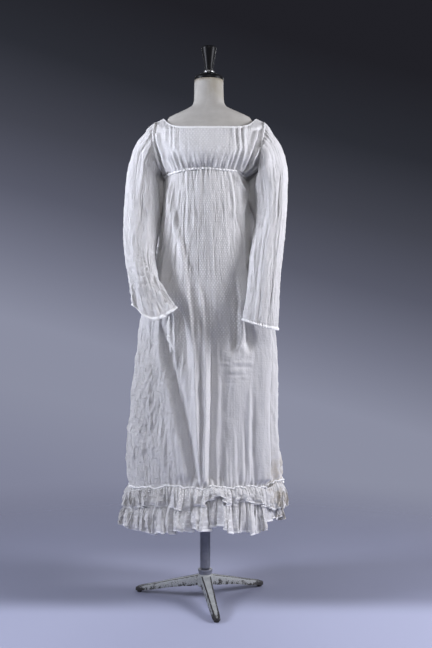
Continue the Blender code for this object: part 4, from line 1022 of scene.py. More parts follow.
def top_row(share, side, front):
    peak = np.array(SHOULDER_PEAK)
    tip = armhole(side, 0.0)
    z0 = BODICE["z_front" if front else "z_back"][-1]
    y0 = BODICE["front" if front else "back"][-1]
    n = np.clip(share / NECK_CORNER, 0, 1)
    s = np.clip((share - NECK_CORNER) / (1 - NECK_CORNER), 0, 1)
    rise = BODICE["rise"][-1] if front else 3.0
    neck = stack(
        FORM_X * ease(0.0, 0.5, n) + side * n * peak[0] + FORM_X * (1 - ease(0.0, 0.5, n)),
        y0 + (peak[1] - y0) * n ** BODICE["square"][-1],
        z0 + (peak[2] - z0) * n**rise,
    )
    corner = np.array([FORM_X + side * peak[0], peak[1], peak[2]])
    return np.where((share <= NECK_CORNER)[..., None], neck, corner + (tip - corner) * s[..., None])


def bodice_half(side, front, share):
    edge = bodice_edge(side, front)
    lift = ease(0, 4, np.arange(len(edge)))
    rows = []
    for k in range(len(edge) - 1):
        z0 = BODICE["z_front" if front else "z_back"][k] + (RIM if k == 0 else 0.0)
        y0 = BODICE["front" if front else "back"][k]
        if k == 0:
            first = SIDE_SEAM[0] if front else 180.0 - SIDE_SEAM[1]
            degrees = side * (first * share if front else 180.0 - first * share)
            rows.append(skirt_plain(degrees, np.full(share.shape, z0)))
            continue
        x0 = FORM_X * lift[k]
        rows.append(
            stack(
                x0 + (edge[k, 0] - x0) * share,
                y0 + (edge[k, 1] - y0) * share ** BODICE["square"][k],
                z0 + (edge[k, 2] - z0) * share ** BODICE["rise"][k],
            )
        )
    rows.append(top_row(share, side, front))
    return np.array(rows)


def sleeve_rings(side, rows, turn):
    t = np.radians(turn)
    rings = [armhole(side, turn) + stack(side * 0.0006, 0 * t, 0 * t)]
    for k in range(len(rows["out_x"])):
        outer = np.array([rows["out_x"][k], rows["y"][k], rows["out_z"][k]])
        inner = np.array([rows["in_x"][k], rows["y"][k], rows["in_z"][k]])
        ring = (outer + inner) / 2 + (outer - inner) / 2 * np.cos(t)[:, None]
        ring = ring + stack(0 * t, -rows["deep"][k] * np.sin(t), -rows["dip"][k] * np.clip(np.sin(t), -0.25, 1) * np.abs(np.sin(t)))
        rings.append(ring)
    return np.array(rings)


# ---------------------------------------------------------------- the skirt
def waist_z(degrees):
    return through(WAIST_LINE["angle"], WAIST_LINE["z"], (np.asarray(degrees) + 180.0) % 360.0 - 180.0)


def cord_z(degrees):
    d = (np.asarray(degrees) + 180.0) % 360.0 - 180.0
    return through(CORD_LINE["angle"], CORD_LINE["z"], d) + 0.0056 * noise(d / 4.9, 0.0, 31) + 0.0022 * noise(d / 2.1, 0.0, 32)


def fold(degrees, z, reach, line, wide_right, wide_left, out, top, foot):
    """One long fold that follows its line down the skirt. reach is metres for each degree."""
    heights = np.array([p[0] for p in line][::-1])
    angles = np.array([p[1] for p in line][::-1])
    at = through(heights, angles, z)
    off = ((degrees - at + 180.0) % 360.0 - 180.0) * reach
    wide = np.where(off < 0, wide_right, wide_left)
    return out * np.exp(-((off / wide) ** 2)) * ease(top[0], top[1], z) * ease(foot[1], foot[0], z)


def gathers(run, drop, spacing, amount, length, seed, spread=0.35, growth=0.06):
    """Gathers that hang from a seam: run is metres along it and drop is metres below it.

    Each one has its own place, strength, length and lean, and widens as it falls."""
    rng = np.random.default_rng(seed)
    low, high = float(run.min()), float(run.max())
    total = np.zeros(np.broadcast(run, drop).shape)
    at = low - spacing
    while at < high + spacing:
        step = spacing * (1 + spread * rng.uniform(-1, 1))
        at += step
        strong, long_, lean = amount * rng.uniform(0.45, 1.25), length * rng.uniform(0.35, 1.5), rng.uniform(-0.05, 0.05)
        wide = spacing * rng.uniform(0.24, 0.36) + growth * drop
        total += strong * np.exp(-(((run - at - lean * drop) / wide) ** 2)) * np.exp(-((drop / long_) ** 1.5))
    mean = amount * 0.47 * np.exp(-((drop / (length * 0.9)) ** 1.5))
    return total - mean


def skirt_height(degrees, z, u):
    """How far the skirt stands off its plain form."""
    plain = skirt_plain(degrees, z)
    reach = np.linalg.norm(skirt_plain(degrees + 0.5, z) - skirt_plain(degrees - 0.5, z), axis=-1)
    total = np.zeros(plain.shape[:2])
    for line, wide_right, wide_left, out, top, foot in SKIRT_FOLDS:
        near = np.abs((degrees[0] - line[len(line) // 2][1] + 180.0) % 360.0 - 180.0) < 75.0
        if abs(line[-1][1]) < 62.0:
            out = out * 1.30
        total[:, near] += fold(degrees[:, near], z[:, near], reach[:, near], line, wide_right, wide_left, out, top, foot)
    d = (degrees + 180.0) % 360.0 - 180.0
    waist_run = u * 0.56  # metres along the waist seam
    drop = np.maximum(waist_z(d) - z, 0.0)
    middle = np.exp(-((np.abs(d) / 50.0) ** 4))  # gathers lie between the side fronts
    behind = ease(104.0, 122.0, np.abs(d))
    front_g = gathers(waist_run, drop, 0.0112, 0.0068, 0.060, 11)
    back_g = gathers(waist_run, drop, 0.0085, 0.0042, 0.200, 12, growth=0.045)
    side_g = gathers(waist_run, drop, 0.016, 0.0012, 0.10, 13)
    total += back_fullness(d, z)
    total += front_g * middle + back_g * behind + side_g * (1 - middle) * (1 - behind)
    # puckers over the corded seam
    lift = np.maximum(z - cord_z(d), 0.0)
    hang = np.maximum(cord_z(d) - z, 0.0)
    total += gathers(u, lift, 0.0135, 0.0064, 0.060, 21, spread=0.5, growth=0.04) * (0.85 + 0.5 * noise(u / 0.09, 0.0, 5))
    total += 0.0010 * np.sin(u / 0.0016) * np.exp(-hang / 0.02) * (z < cord_z(d))
    # crinkles of the washed cloth, stronger on the sides and near the hem
    body = ease(0.0, 0.05, drop) * ease(0.0, 0.03, lift)
    side = np.where(d > 0, ease(53.0, 72.0, d), ease(26.0, 62.0, -d))
    smooth_ = ease(4.0, 16.0, d) * ease(55.0, 51.0, d) * ease(0.45, 0.56, z) * ease(0.95, 0.86, z)
    soft = (0.0014 * crinkle(u, z, 0.017, 0.16, 41) + 0.0012 * crinkle(u, z, 0.0115, 0.085, 42)) * (1 + 0.2 * ease(0.98, 0.80, z) + 1.2 * ease(-8.0, -28.0, d)) * (1 - 0.7 * smooth_) + 0.0010 * noise(u / 0.02, z / 0.03, 43)
    soft = soft + 0.0016 * ease(0.98, 0.80, z) * crinkle(u, z, 0.026, 0.22, 54)
    rough = 0.0034 * crinkle(u, z, 0.020, 0.15, 44) + 0.0022 * crinkle(u, z, 0.010, 0.06, 45)
    total += body * (soft + side * rough * np.where(d < 0, 1.3, 1.0))
    # slanting crumples under the right hand
    patch = np.exp(-(((d + 55.0) / 14.0) ** 4)) * ease(0.44, 0.52, z) * ease(0.84, 0.76, z)
    slant = u * 0.86 - z * 0.34
    total += patch * (0.0052 * crinkle(slant, z + u * 0.4, 0.0125, 0.13, 46) + 0.0036 * crinkle(slant, z + u * 0.4, 0.0095, 0.08, 57) + 0.0020 * noise(u / 0.014, z / 0.017, 55))
    for height, start, end, gain, out in SKIRT_CREASES:
        share = np.clip((d - start) / (end - start), 0, 1)
        line = height + gain * share + 0.0012 * noise(d / 5.0, height * 90, 47)
        ends = ease(start - 3, start + 8, d) * ease(end + 3, end - 8, d)
        total += 2.0 * out * ends * (0.75 + 0.6 * noise(u / 0.022, height * 70, 53)) * np.exp(-(((z - line) / 0.0038) ** 2))
    level = ease(5.0, 22.0, d) * ease(45.0, 28.0, d) * ease(0.690, 0.770, z) * ease(0.880, 0.810, z)
    total += level * 0.0013 * crinkle(z + 0.10 * (u - 0.1), u, 0.0105, 0.055, 51)
    shade = ease(0.0, 12.0, d) * ease(44.0, 36.0, d) * ease(0.82, 0.88, z) * ease(1.10, 1.02, z)
    total += shade * 0.0016 * crinkle(u * 0.8 + z * 0.5, z * 0.8 - u * 0.5, 0.013, 0.05, 52)
    # the woven spots draw the cloth up into small puckers, most where it hangs smooth
    row = z / 0.0146
    spots = np.cos(math.pi * (u / 0.0125 + row)) * np.cos(math.pi * (u / 0.0125 - row))
    smooth = np.exp(-((d / 30.0) ** 4)) * ease(0.84, 0.93, z) * ease(1.38, 1.30, z)
    total += smooth * 0.0013 * spots * (0.7 + 0.6 * noise(u / 0.05, z / 0.05, 56))
    # shallow drape over the whole cloth
    total += body * 0.0022 * noise(u / 0.09, z / 0.30, 48)
    # crumpled bulk over the left of the hem
    bulk = ease(62.0, 76.0, d) * ease(128.0, 100.0, d) * ease(0.58, 0.45, z)
    total += bulk * (0.0045 + 0.0060 * crinkle(u, z, 0.014, 0.030, 49) + 0.0035 * noise(u / 0.011, z / 0.012, 50))
    return total


def hem_run(degrees):
    """Metres of cloth round the skirt from the centre front, at the hem."""
    fine = np.linspace(-270, 270, 2161)
    p = skirt_plain(fine, np.full(fine.shape, 0.45))
    run = np.concatenate([[0.0], np.cumsum(np.linalg.norm(np.diff(p, axis=0), axis=1))])
    run -= np.interp(0.0, fine, run)
    return np.interp(degrees, fine, run), fine, run


def even_degrees(start, end, count):
    run, fine, whole = hem_run(np.array([start, end]))
    return np.interp(np.linspace(run[0], run[1], count), whole, fine)


def skirt_panel(name, start, end, cols, rows, node):
    degrees = even_degrees(start, end, cols)
    u = np.broadcast_to(hem_run(degrees)[0], (rows, cols))
    d = np.broadcast_to(degrees, (rows, cols))
    share = np.linspace(0, 1, rows)
    # closer rows at the seams, and at the front also where it is creased level
    fine = np.linspace(0, 1, 2001)
    close = 1 / (1 - 0.113 * np.cos(2 * math.pi * fine))
    if rows > 160:
        close = close + 0.9 * np.exp(-(((fine - 0.57) / 0.085) ** 4))
    close = np.concatenate([[0.0], np.cumsum((close[1:] + close[:-1]) / 2)])
    share = np.interp(share, close / close[-1], fine)
    top = waist_z(d)
    z = top + (SKIRT_END_Z - top) * share[:, None]
    height = skirt_height(d, z, u)
    grid = skirt_plain(d, z) + outward(d, z) * height[..., None]
    obj = shell(name, grid, u, z, MUSLIN_SKIRT, centre=(0.0, 0.04, 0.9), stands=(node,))
    return obj


def make_skirt():
    skirt_panel("skirt_front_cloth", -SKIRT_SEAM, SKIRT_SEAM, 226, 204, "skirt_front")
    skirt_panel("skirt_back_cloth", SKIRT_SEAM, 360.0 - SKIRT_SEAM, 152, 112, "skirt_back")


def ring_line(height, off, count, start=0.0):
    """Points round the skirt at a height, on top of its folds."""
    degrees = even_degrees(-180.0, 180.0, count + 1)[:-1]
    d = degrees[None, :]
    u = hem_run(degrees)[0][None, :]
    z = height(d)
    lift = skirt_height(d, z, u)
    return (skirt_plain(d, z) + outward(d, z) * (lift + off)[..., None])[0], degrees


def make_trims():
    path, degrees = ring_line(lambda d: waist_z(d) - 0.0012, 0.0022, 420)
    wobble = 1 + 0.20 * noise(degrees / 3.1, 0.0, 61) + 0.12 * noise(degrees / 1.3, 0.0, 62)
    wobble = wobble + 0.75 * np.exp(-(((degrees - 19.5) / 0.75) ** 2))  # a small knot in the tape
    tube("waist_band_piping", path, WAIST_PIPING_R * 0.98 * wobble, PIPING_WHITE, sides=12, closed=True, flat=1.18, stands=("waist_piping",))
    path, degrees = ring_line(cord_z, 0.0030, 560)
    wobble = 1 + 0.12 * noise(degrees / 2.1, 0.0, 63)
    tube("hem_seam_cord", path, HEM_CORD_R * 1.22 * wobble, PIPING_WHITE, sides=10, closed=True, stands=("hem_cord",))


# ---------------------------------------------------------------- the flounces
def hem_band(name, grid, u, v, rows_deep, around, centre, wall=0.0019, off=0.0006):
    """The narrow turned hem along the last rows of a cloth grid: a thicker, closer strip with a row of stitches."""
    last = len(grid) - 1
    at = np.linspace(last - rows_deep, last, 8)
    strip = refine(grid, at)
    edge = strip[-1] - strip[-2]
    strip[-1] = strip[-1] + 0.35 * edge
    n = normals_of(strip, around, np.asarray(centre, float))
    pinch = np.array([0.0002, 0.55, 0.25, 0.8, 1.0, 1.0, 0.85, 0.35])[:, None, None]
    strip = strip + n * off * pinch
    uu = refine(np.ascontiguousarray(np.broadcast_to(u, grid.shape[:2])), at)
    vv = refine(np.ascontiguousarray(np.broadcast_to(v, grid.shape[:2])), at)
    thick = wall * np.array([0.45, 0.9, 0.6, 1.0, 1.15, 1.15, 1.0, 0.6])[:, None]
    return shell(name, strip, vv, uu, PIPING_WHITE, around=around, wall=thick, centre=centre)


def ruffle(name, node, head, hem, head_off, cols, rows, seed, depth):
    """A gathered frill: fine gathers at its head that join into deep waves at its hem."""
    degrees = even_degrees(-180.0, 180.0, cols + 1)[:-1]
    d = np.broadcast_to(degrees, (rows, cols))
    s = np.broadcast_to(hem_run(degrees)[0], (rows, cols))  # metres round the skirt
    t = np.linspace(0, 1, rows)[:, None] * np.ones((1, cols))
    run = s[0, -1] - s[0, 0]

    def loop_noise(length, k):
        """Noise along the frill that meets itself at the centre back."""
        raw = noise(degrees / 360.0 * (run / length), 0.5, seed + k)
        end = noise(180.0 / 360.0 * (run / length), 0.5, seed + k) - noise(-180.0 / 360.0 * (run / length), 0.5, seed + k)
        return raw - end * (degrees + 180.0) / 360.0

    def train(length, k, swing):
        turns = round(run / length)
        return turns * np.radians(degrees) + swing * loop_noise(length * 2.3, k) + 1.1 * loop_noise(length * 0.9, k + 20)

    z_top = head(d)
    hem_z = through(hem["angle"], hem["z"], d)
    flare = through(hem["angle"], hem["flare"], d)
    big, mid, small = train(0.058, 1, 3.4), train(0.0225, 2, 3.0), train(0.0098, 3, 2.2)
    strong = np.maximum(1.10 + 0.50 * loop_noise(0.11, 4), 0.85)
    busy = np.maximum(1.20 + 0.60 * loop_noise(0.045, 5), 0.80)
    fine = np.maximum(1.0 + 0.7 * loop_noise(0.03, 6), 0.6)
    tucked = 1 - 0.75 * np.exp(-(((d - 59.0) / 9.0) ** 2))
    grow = t**1.2
    calm = np.exp(-((t / 0.55) ** 2))
    lean = 2.2 * loop_noise(0.05, 7) * t
    wave = depth * strong * grow * np.cos(big) + depth * 0.80 * busy * (0.12 + 0.88 * t**0.8) * np.cos(mid + lean)
    wave = wave * tucked + 0.0027 * fine * np.cos(small - 0.6 * lean) * (0.35 + 0.65 * calm) * ease(0.0, 0.08, t)
    slide = -(depth * 0.70 * strong * grow * np.sin(2 * big) + depth * 0.75 * busy * t * np.sin(2 * (mid + lean))) * tucked
    crease = 0.0036 * crinkle(s + 0.030 * t * loop_noise(0.07, 8), t * 0.08, 0.0088, 0.045, seed + 11) * ease(0, 0.15, t)
    crease = crease + 0.0034 * noise(s / 0.011, t * 7.0, seed + 12) * t
    # the frill bells out, then hangs
    bell = flare * (1 - (1 - t) ** 1.7) + 0.004 * np.sin(math.pi * t)
    off = head_off + bell + wave + crease
    lift = 0.0040 * np.cos(big + 0.7) * grow + 0.0028 * busy * np.cos(mid) * grow + 0.0012 * np.cos(small) * grow
    z = z_top + (hem_z + lift - z_top) * t
    side = unit(skirt_plain(d + 0.5, z) - skirt_plain(d - 0.5, z))
    # keep the inside clear of what is behind it
    off = np.maximum(off, head_off * 0.85 + 0.0008)
    grid = skirt_plain(d, z) + outward(d, z) * off[..., None] + side * slide[..., None]
    u = s * 1.35
    v = -t * 0.085 + seed
    wall = CLOTH + 0.0010 * ease(0.93, 0.985, t)
    obj = shell(name, grid, u, v, MUSLIN_FLOUNCE, around=True, wall=wall, centre=(0.0, 0.04, 0.33), stands=(node,))
    hem = hem_band(name + "_hem", grid, u, v, 1.7, True, (0.0, 0.04, 0.33))
    return obj


def make_flounces():
    ruffle("flounce_upper_frill", "flounce_upper", lambda d: cord_z(d) - 0.0022, UPPER_HEM, 0.0030, 730, 27, 300, 0.0090)
    ruffle("flounce_lower_frill", "flounce_lower", lambda d: through(UPPER_HEM["angle"], UPPER_HEM["z"], d) + 0.020, LOWER_HEM, 0.0020, 730, 29, 340, 0.0100)


# ---------------------------------------------------------------- the sleeves
def sleeve(name, node, side, rows, cols, count, seed, creases):
    turn = np.arange(cols) * 360.0 / cols
    rings = sleeve_rings(side, rows, turn)
    at, length = even(rings, count)
    grid = refine(rings, at)
    share = np.linspace(0, 1, count)[:, None] * np.ones((1, cols))
    down = share * length
    around = np.linalg.norm(np.roll(grid, -1, 1) - grid, axis=-1)
    girth = around.sum(axis=1, keepdims=True)
    t = np.broadcast_to(turn, (count, cols))
    u = t / 360.0 * 0.46
    centre = grid.mean(axis=1, keepdims=True)
    n = normals_of(grid, True, centre)
    height = creases(t, share, down, u, length)
    grid = grid + n * height[..., None]
    # at its head the sleeve reaches round behind the body
    tr = np.radians(t)
    behind = np.clip(-np.sin(tr), 0, 1) * np.clip(-np.cos(tr - np.radians(20)), 0, 1)
    grid[..., 0] -= side * (0.055 if side < 0 else 0.088) * behind * ease(0.0, 0.05, down) * ease(0.26, 0.10, down)
    # and it stands forward of the bodice beside the armhole
    ahead = 0.020 if side > 0 else 0.004
    grid[..., 1] -= ahead * ease(60.0, 95.0, t) * ease(186.0, 150.0, t) * ease(0.0, 0.016, down) * ease(0.15, 0.06, down)
    if side > 0:
        grid[..., 0] -= 0.0150 * ease(60.0, 100.0, t) * ease(188.0, 150.0, t) * ease(0.0, 0.03, down) * ease(0.20, 0.09, down)
        grid[..., 0] -= (0.0048 + 0.0045 * ease(0.12, 0.04, down)) * ease(75.0, 30.0, np.abs(wrap(t))) * ease(0.0, 0.04, down)
    if side < 0:
        grid[..., 2] -= 0.0100 * np.exp(-((wrap(t - 84.0) / 34.0) ** 2)) * ease(0.80, 1.0, share)
        grid[..., 2] += 0.0030 * np.exp(-((wrap(t - 42.0) / 12.0) ** 2)) * ease(0.93, 1.0, share)
    wall = CLOTH + 0.0010 * ease(length - 0.0045, length - 0.0015, down)
    obj = shell(name, grid, u, -down, MUSLIN_SLEEVE, around=True, wall=wall, centre=centre, stands=(node,))
    hem = hem_band(name + "_hem", grid, u, np.broadcast_to(-down, u.shape), 2.2, True, grid[-4:].mean(axis=(0, 1)), wall=0.0032, off=0.0009)
    return obj


def wrap(x):
    return (x + 180.0) % 360.0 - 180.0


def looped(u, v, across, along, seed, whole=0.46):
    """Crinkles round a sleeve that meet at the seam, which lies at the back of the arm."""
    a, b = crinkle(u, v, across, along, seed), crinkle(u + whole, v, across, along, seed)
    near = ease(0.0, whole * 0.06, u)
    return a * near + b * (1 - near)


def ridge(t, down, line, wide, out, top, foot):
    """A crease along a sleeve: line is (metres down, degrees round), wide in degrees."""
    at = np.interp(down, [p[0] for p in line], [p[1] for p in line])
    return out * np.exp(-((wrap(t - at) / wide) ** 2)) * ease(top[0], top[1], down) * ease(foot[1], foot[0], down)


# Creases along each sleeve: (metres down, degrees round from the outer edge over the front), width in degrees, height, fade at the top, fade at the foot.
RIGHT_CREASES = [
    ([(0.00, 60), (0.12, 50), (0.30, 48)], 7, 0.0020, (0.00, 0.03), (0.12, 0.20)),
    ([(0.00, 85), (0.10, 82), (0.26, 90)], 7, 0.0022, (0.00, 0.03), (0.12, 0.22)),
    ([(0.05, 118), (0.20, 110), (0.42, 120)], 9, 0.0026, (0.05, 0.10), (0.30, 0.42)),
    ([(0.02, 24), (0.10, 22), (0.30, 18)], 9, -0.0030, (0.02, 0.05), (0.18, 0.30)),
    ([(0.20, 70), (0.35, 74), (0.52, 70)], 7, 0.0020, (0.20, 0.26), (0.42, 0.52)),
    ([(0.30, 35), (0.45, 38), (0.56, 36)], 8, 0.0024, (0.30, 0.36), (0.50, 0.56)),
    # hollow near the outer edge above the cuff
    ([(0.40, 36), (0.50, 38), (0.64, 40)], 17, -0.0110, (0.38, 0.50), (0.66, 0.70)),
    # the fold where the cuff turns out towards the body
    ([(0.46, 178), (0.50, 168), (0.54, 150), (0.57, 140)], 11, -0.0130, (0.46, 0.495), (0.53, 0.57)),
    ([(0.47, 150), (0.52, 146), (0.56, 128)], 8, 0.0045, (0.47, 0.50), (0.54, 0.58)),
]
LEFT_CREASES = [
    ([(0.00, 58), (0.10, 48), (0.30, 52), (0.60, 56)], 6, 0.0032, (0.00, 0.03), (0.50, 0.62)),
    ([(0.00, 80), (0.15, 70), (0.35, 74), (0.64, 76)], 6, -0.0030, (0.02, 0.06), (0.50, 0.64)),
    ([(0.02, 98), (0.20, 92), (0.40, 96), (0.66, 98)], 6, 0.0032, (0.02, 0.06), (0.56, 0.66)),
    ([(0.03, 120), (0.20, 116), (0.40, 120), (0.60, 122)], 7, -0.0036, (0.03, 0.08), (0.48, 0.60)),
    ([(0.04, 140), (0.14, 136), (0.22, 150), (0.34, 142), (0.50, 140)], 8, 0.0048, (0.04, 0.08), (0.40, 0.50)),
    ([(0.20, 165), (0.25, 156), (0.33, 160)], 7, -0.0055, (0.20, 0.24), (0.30, 0.36)),
    ([(0.06, 22), (0.25, 28), (0.50, 30)], 7, -0.0026, (0.06, 0.12), (0.40, 0.52)),
    ([(0.20, 40), (0.40, 38), (0.64, 42)], 6, 0.0026, (0.20, 0.28), (0.56, 0.66)),
    ([(0.35, 108), (0.50, 110), (0.66, 112)], 5, 0.0026, (0.35, 0.42), (0.60, 0.68)),
    ([(0.35, 64), (0.50, 66), (0.66, 66)], 5, -0.0022, (0.35, 0.42), (0.60, 0.68)),
]
BACK_CREASES = [
    ([(0.02, 215), (0.20, 222), (0.44, 215)], 9, 0.0034, (0.02, 0.06), (0.34, 0.46)),
    ([(0.06, 250), (0.26, 244), (0.55, 250)], 9, -0.0034, (0.06, 0.12), (0.44, 0.56)),
    ([(0.00, 285), (0.18, 280), (0.40, 286)], 9, 0.0032, (0.00, 0.04), (0.30, 0.42)),
    ([(0.20, 300), (0.40, 305), (0.62, 300)], 8, -0.0030, (0.20, 0.28), (0.52, 0.64)),
    ([(0.28, 232), (0.45, 228), (0.64, 235)], 8, 0.0028, (0.28, 0.36), (0.54, 0.66)),
    ([(0.02, 330), (0.20, 334), (0.40, 332)], 9, 0.0024, (0.02, 0.06), (0.30, 0.42)),
]


def common_creases(t, share, down, u, length, seed, amount):
    head = gathers(u, down, 0.0110, 0.0044, 0.050, seed, spread=0.45, growth=0.06)
    head = head * ease(118.0, 88.0, np.abs(wrap(t - 0.0)))  # gathered over the top of the arm, plain under it
    body = ease(0.0, 0.03, down) * ease(length, length - 0.02, down)
    total = head * 0.9
    total += body * amount * (0.0019 * looped(u, down, 0.0105, 0.13, seed + 1) + 0.0017 * looped(u, down, 0.0066, 0.05, seed + 2) + 0.0006 * noise(u / 0.012, down / 0.010, seed + 6))
    total += body * 0.0022 * (noise(u / 0.055, down / 0.16, seed + 3) * ease(0, 0.04, u) * ease(0.46, 0.42, u))
    total += 0.0012 * np.sin(math.pi * np.clip(down / 0.03, 0, 1)) * 2.0  # puffs out at the armhole seam
    for line, wide, out, top, foot in BACK_CREASES:
        total += ridge(t, down, line, wide, out, top, foot)
    # the cuff: a narrow hem with its row of stitches
    edge = length - down
    total += 0.0009 * ease(0.0075, 0.0055, edge) - 0.0010 * np.exp(-(((edge - 0.0085) / 0.0012) ** 2)) * (0.6 + 0.4 * np.sin(u / 0.0007))
    total += gathers(u, edge, 0.0110, 0.0016, 0.020, seed + 5, spread=0.5, growth=0.05)
    return total


def right_creases(t, share, down, u, length):
    total = common_creases(t, share, down, u, length, 500, 1.15)
    for line, wide, out, top, foot in RIGHT_CREASES:
        total += ridge(t, down, line, wide, out, top, foot)
    # level crinkles above the cuff
    zone = ease(0.36, 0.48, down) * ease(length - 0.02, length - 0.06, down) * np.exp(-((wrap(t - 75.0) / 75.0) ** 4))
    total += zone * 0.0042 * crinkle(down * 1.0 + 0.004 * noise(u / 0.03, down / 0.05, 507), u, 0.0115, 0.045, 508)
    # crumpled stretch below the elbow's inner side
    zone = ease(0.50, 0.56, down) * np.exp(-((wrap(t - 120.0) / 45.0) ** 2))
    total += zone * 0.0040 * noise(u / 0.012, down / 0.012, 509)
    return total


def left_creases(t, share, down, u, length):
    total = common_creases(t, share, down, u, length, 560, 0.95)
    for line, wide, out, top, foot in LEFT_CREASES:
        total += 0.75 * ridge(t, down, line, wide, out, top, foot)
    # gathers caught in the hem of the cuff
    edge = length - down
    patch = np.exp(-((wrap(t - 92.0) / 22.0) ** 2))
    total += patch * 0.0032 * np.sin(u / 0.0021 + 3 * noise(u / 0.01, 0.0, 566)) * np.exp(-edge / 0.020)
    return total


def make_sleeves():
    sleeve("sleeve_right_cloth", "sleeve_right", -1, SLEEVE_RIGHT, 192, 160, 500, right_creases)
    sleeve("sleeve_left_cloth", "sleeve_left", 1, SLEEVE_LEFT, 200, 162, 560, left_creases)
    for side, hand in ((-1, "right"), (1, "left")):
        turn = np.linspace(0, 360, 160, endpoint=False)
        ring = armhole(side, turn) + stack(side * 0.0010 + 0 * turn, 0 * turn, 0 * turn)
        out = unit(ring - ring.mean(axis=0))
        ring = ring + out * 0.0012
        ring[:, 1] -= (0.0060 + 0.0130 * ease(90.0, 140.0, turn) * ease(186.0, 160.0, turn)) * ease(4.0, 60.0, turn) * ease(190.0, 165.0, turn)
        size = (0.0012 + 0.0015 * ease(14.0, 40.0, np.minimum(turn, 360.0 - turn)) + 0.0020 * ease(95.0, 120.0, turn) * ease(180.0, 160.0, turn)) * (1 + 0.15 * noise(turn / 6.0, 0.0, 70 + side))
        tube("armhole_seam_" + hand, ring, size, PIPING_WHITE, sides=8, closed=True, tilt=(1.0, 0.0, 0.001))


# ---------------------------------------------------------------- the bodice
# Creases of the gathered front: (across, height) of the line from its top down, half width, height of the ridge, and how it fades at its top and foot.
FRONT_CREASES = [
    # shadowed troughs beside the gathered panel, each with the edge of the panel standing over it
    ([(-0.176, 1.570), (-0.172, 1.534), (-0.160, 1.501), (-0.149, 1.469), (-0.134, 1.436)], 0.0070, -0.0130, 0.016, 0.006),
    ([(-0.160, 1.570), (-0.154, 1.534), (-0.143, 1.501), (-0.136, 1.472), (-0.122, 1.436)], 0.0070, 0.0080, 0.012, 0.006),
    ([(0.186, 1.585), (0.178, 1.550), (0.167, 1.520), (0.153, 1.487), (0.139, 1.455), (0.125, 1.438)], 0.0048, -0.0150, 0.014, 0.006),
    ([(0.170, 1.575), (0.163, 1.545), (0.152, 1.515), (0.141, 1.487), (0.128, 1.455), (0.114, 1.438)], 0.0080, 0.0110, 0.012, 0.006),
    ([(0.160, 1.470), (0.148, 1.448), (0.134, 1.432)], 0.0060, 0.0080, 0.012, 0.004),
    ([(0.160, 1.480), (0.148, 1.460), (0.132, 1.440)], 0.0045, 0.0060, 0.010, 0.004),
    ([(-0.156, 1.465), (-0.142, 1.434)], 0.0055, 0.0060, 0.016, 0.004),
    # strong gathers at both ends of the waist
    ([(-0.116, 1.508), (-0.108, 1.480), (-0.092, 1.438)], 0.0034, -0.0042, 0.030, 0.004),
    ([(-0.108, 1.512), (-0.101, 1.480), (-0.083, 1.438)], 0.0034, 0.0036, 0.030, 0.004),
    ([(-0.122, 1.500), (-0.117, 1.470), (-0.103, 1.437)], 0.0034, 0.0032, 0.028, 0.004),
    ([(-0.098, 1.504), (-0.091, 1.475), (-0.075, 1.439)], 0.0032, -0.0034, 0.030, 0.004),
    ([(-0.088, 1.500), (-0.080, 1.470), (-0.066, 1.440)], 0.0034, 0.0026, 0.026, 0.004),
    ([(0.125, 1.515), (0.117, 1.485), (0.102, 1.440)], 0.0034, -0.0048, 0.034, 0.004),
    ([(0.117, 1.520), (0.108, 1.488), (0.092, 1.441)], 0.0036, 0.0042, 0.034, 0.004),
    ([(0.133, 1.520), (0.126, 1.490), (0.112, 1.440)], 0.0036, 0.0040, 0.034, 0.004),
    ([(0.105, 1.510), (0.097, 1.480), (0.083, 1.441)], 0.0034, -0.0030, 0.030, 0.004),
    ([(0.096, 1.500), (0.088, 1.470), (0.075, 1.442)], 0.0034, 0.0026, 0.026, 0.004),
    # long gathers that hang from the neckline near the shoulders
    ([(-0.132, 1.592), (-0.130, 1.560), (-0.128, 1.500)], 0.0032, 0.0022, 0.004, 0.060),
    ([(-0.121, 1.588), (-0.119, 1.555), (-0.118, 1.505)], 0.0030, -0.0020, 0.004, 0.050),
    ([(-0.112, 1.585), (-0.111, 1.550), (-0.110, 1.490)], 0.0032, 0.0024, 0.004, 0.060),
    ([(-0.098, 1.583), (-0.097, 1.550), (-0.097, 1.510)], 0.0030, 0.0018, 0.004, 0.040),
    ([(-0.085, 1.582), (-0.085, 1.545), (-0.084, 1.515)], 0.0030, -0.0014, 0.004, 0.035),
    ([(0.082, 1.582), (0.083, 1.550), (0.084, 1.515)], 0.0030, -0.0014, 0.004, 0.035),
    ([(0.094, 1.583), (0.095, 1.545), (0.098, 1.500)], 0.0032, 0.0024, 0.004, 0.050),
    ([(0.103, 1.584), (0.104, 1.540), (0.106, 1.480)], 0.0034, -0.0034, 0.004, 0.060),
    ([(0.112, 1.586), (0.113, 1.540), (0.114, 1.480)], 0.0034, 0.0032, 0.004, 0.060),
    ([(0.122, 1.588), (0.122, 1.545), (0.124, 1.490)], 0.0032, -0.0026, 0.004, 0.060),
    ([(0.132, 1.592), (0.131, 1.550), (0.131, 1.500)], 0.0034, 0.0026, 0.004, 0.050),
    ([(0.143, 1.598), (0.141, 1.560), (0.138, 1.520)], 0.0034, -0.0018, 0.004, 0.040),
]


def plain_crease(x, z, line, wide, out, top, foot):
    heights = np.array([p[1] for p in line][::-1])
    across = np.array([p[0] for p in line][::-1])
    at = np.interp(z, heights, across)
    return out * np.exp(-(((x - at) / wide) ** 2)) * ease(heights[-1] + top * 0.2, heights[-1] - top, z) * ease(heights[0] - 0.002, heights[0] + foot, z)


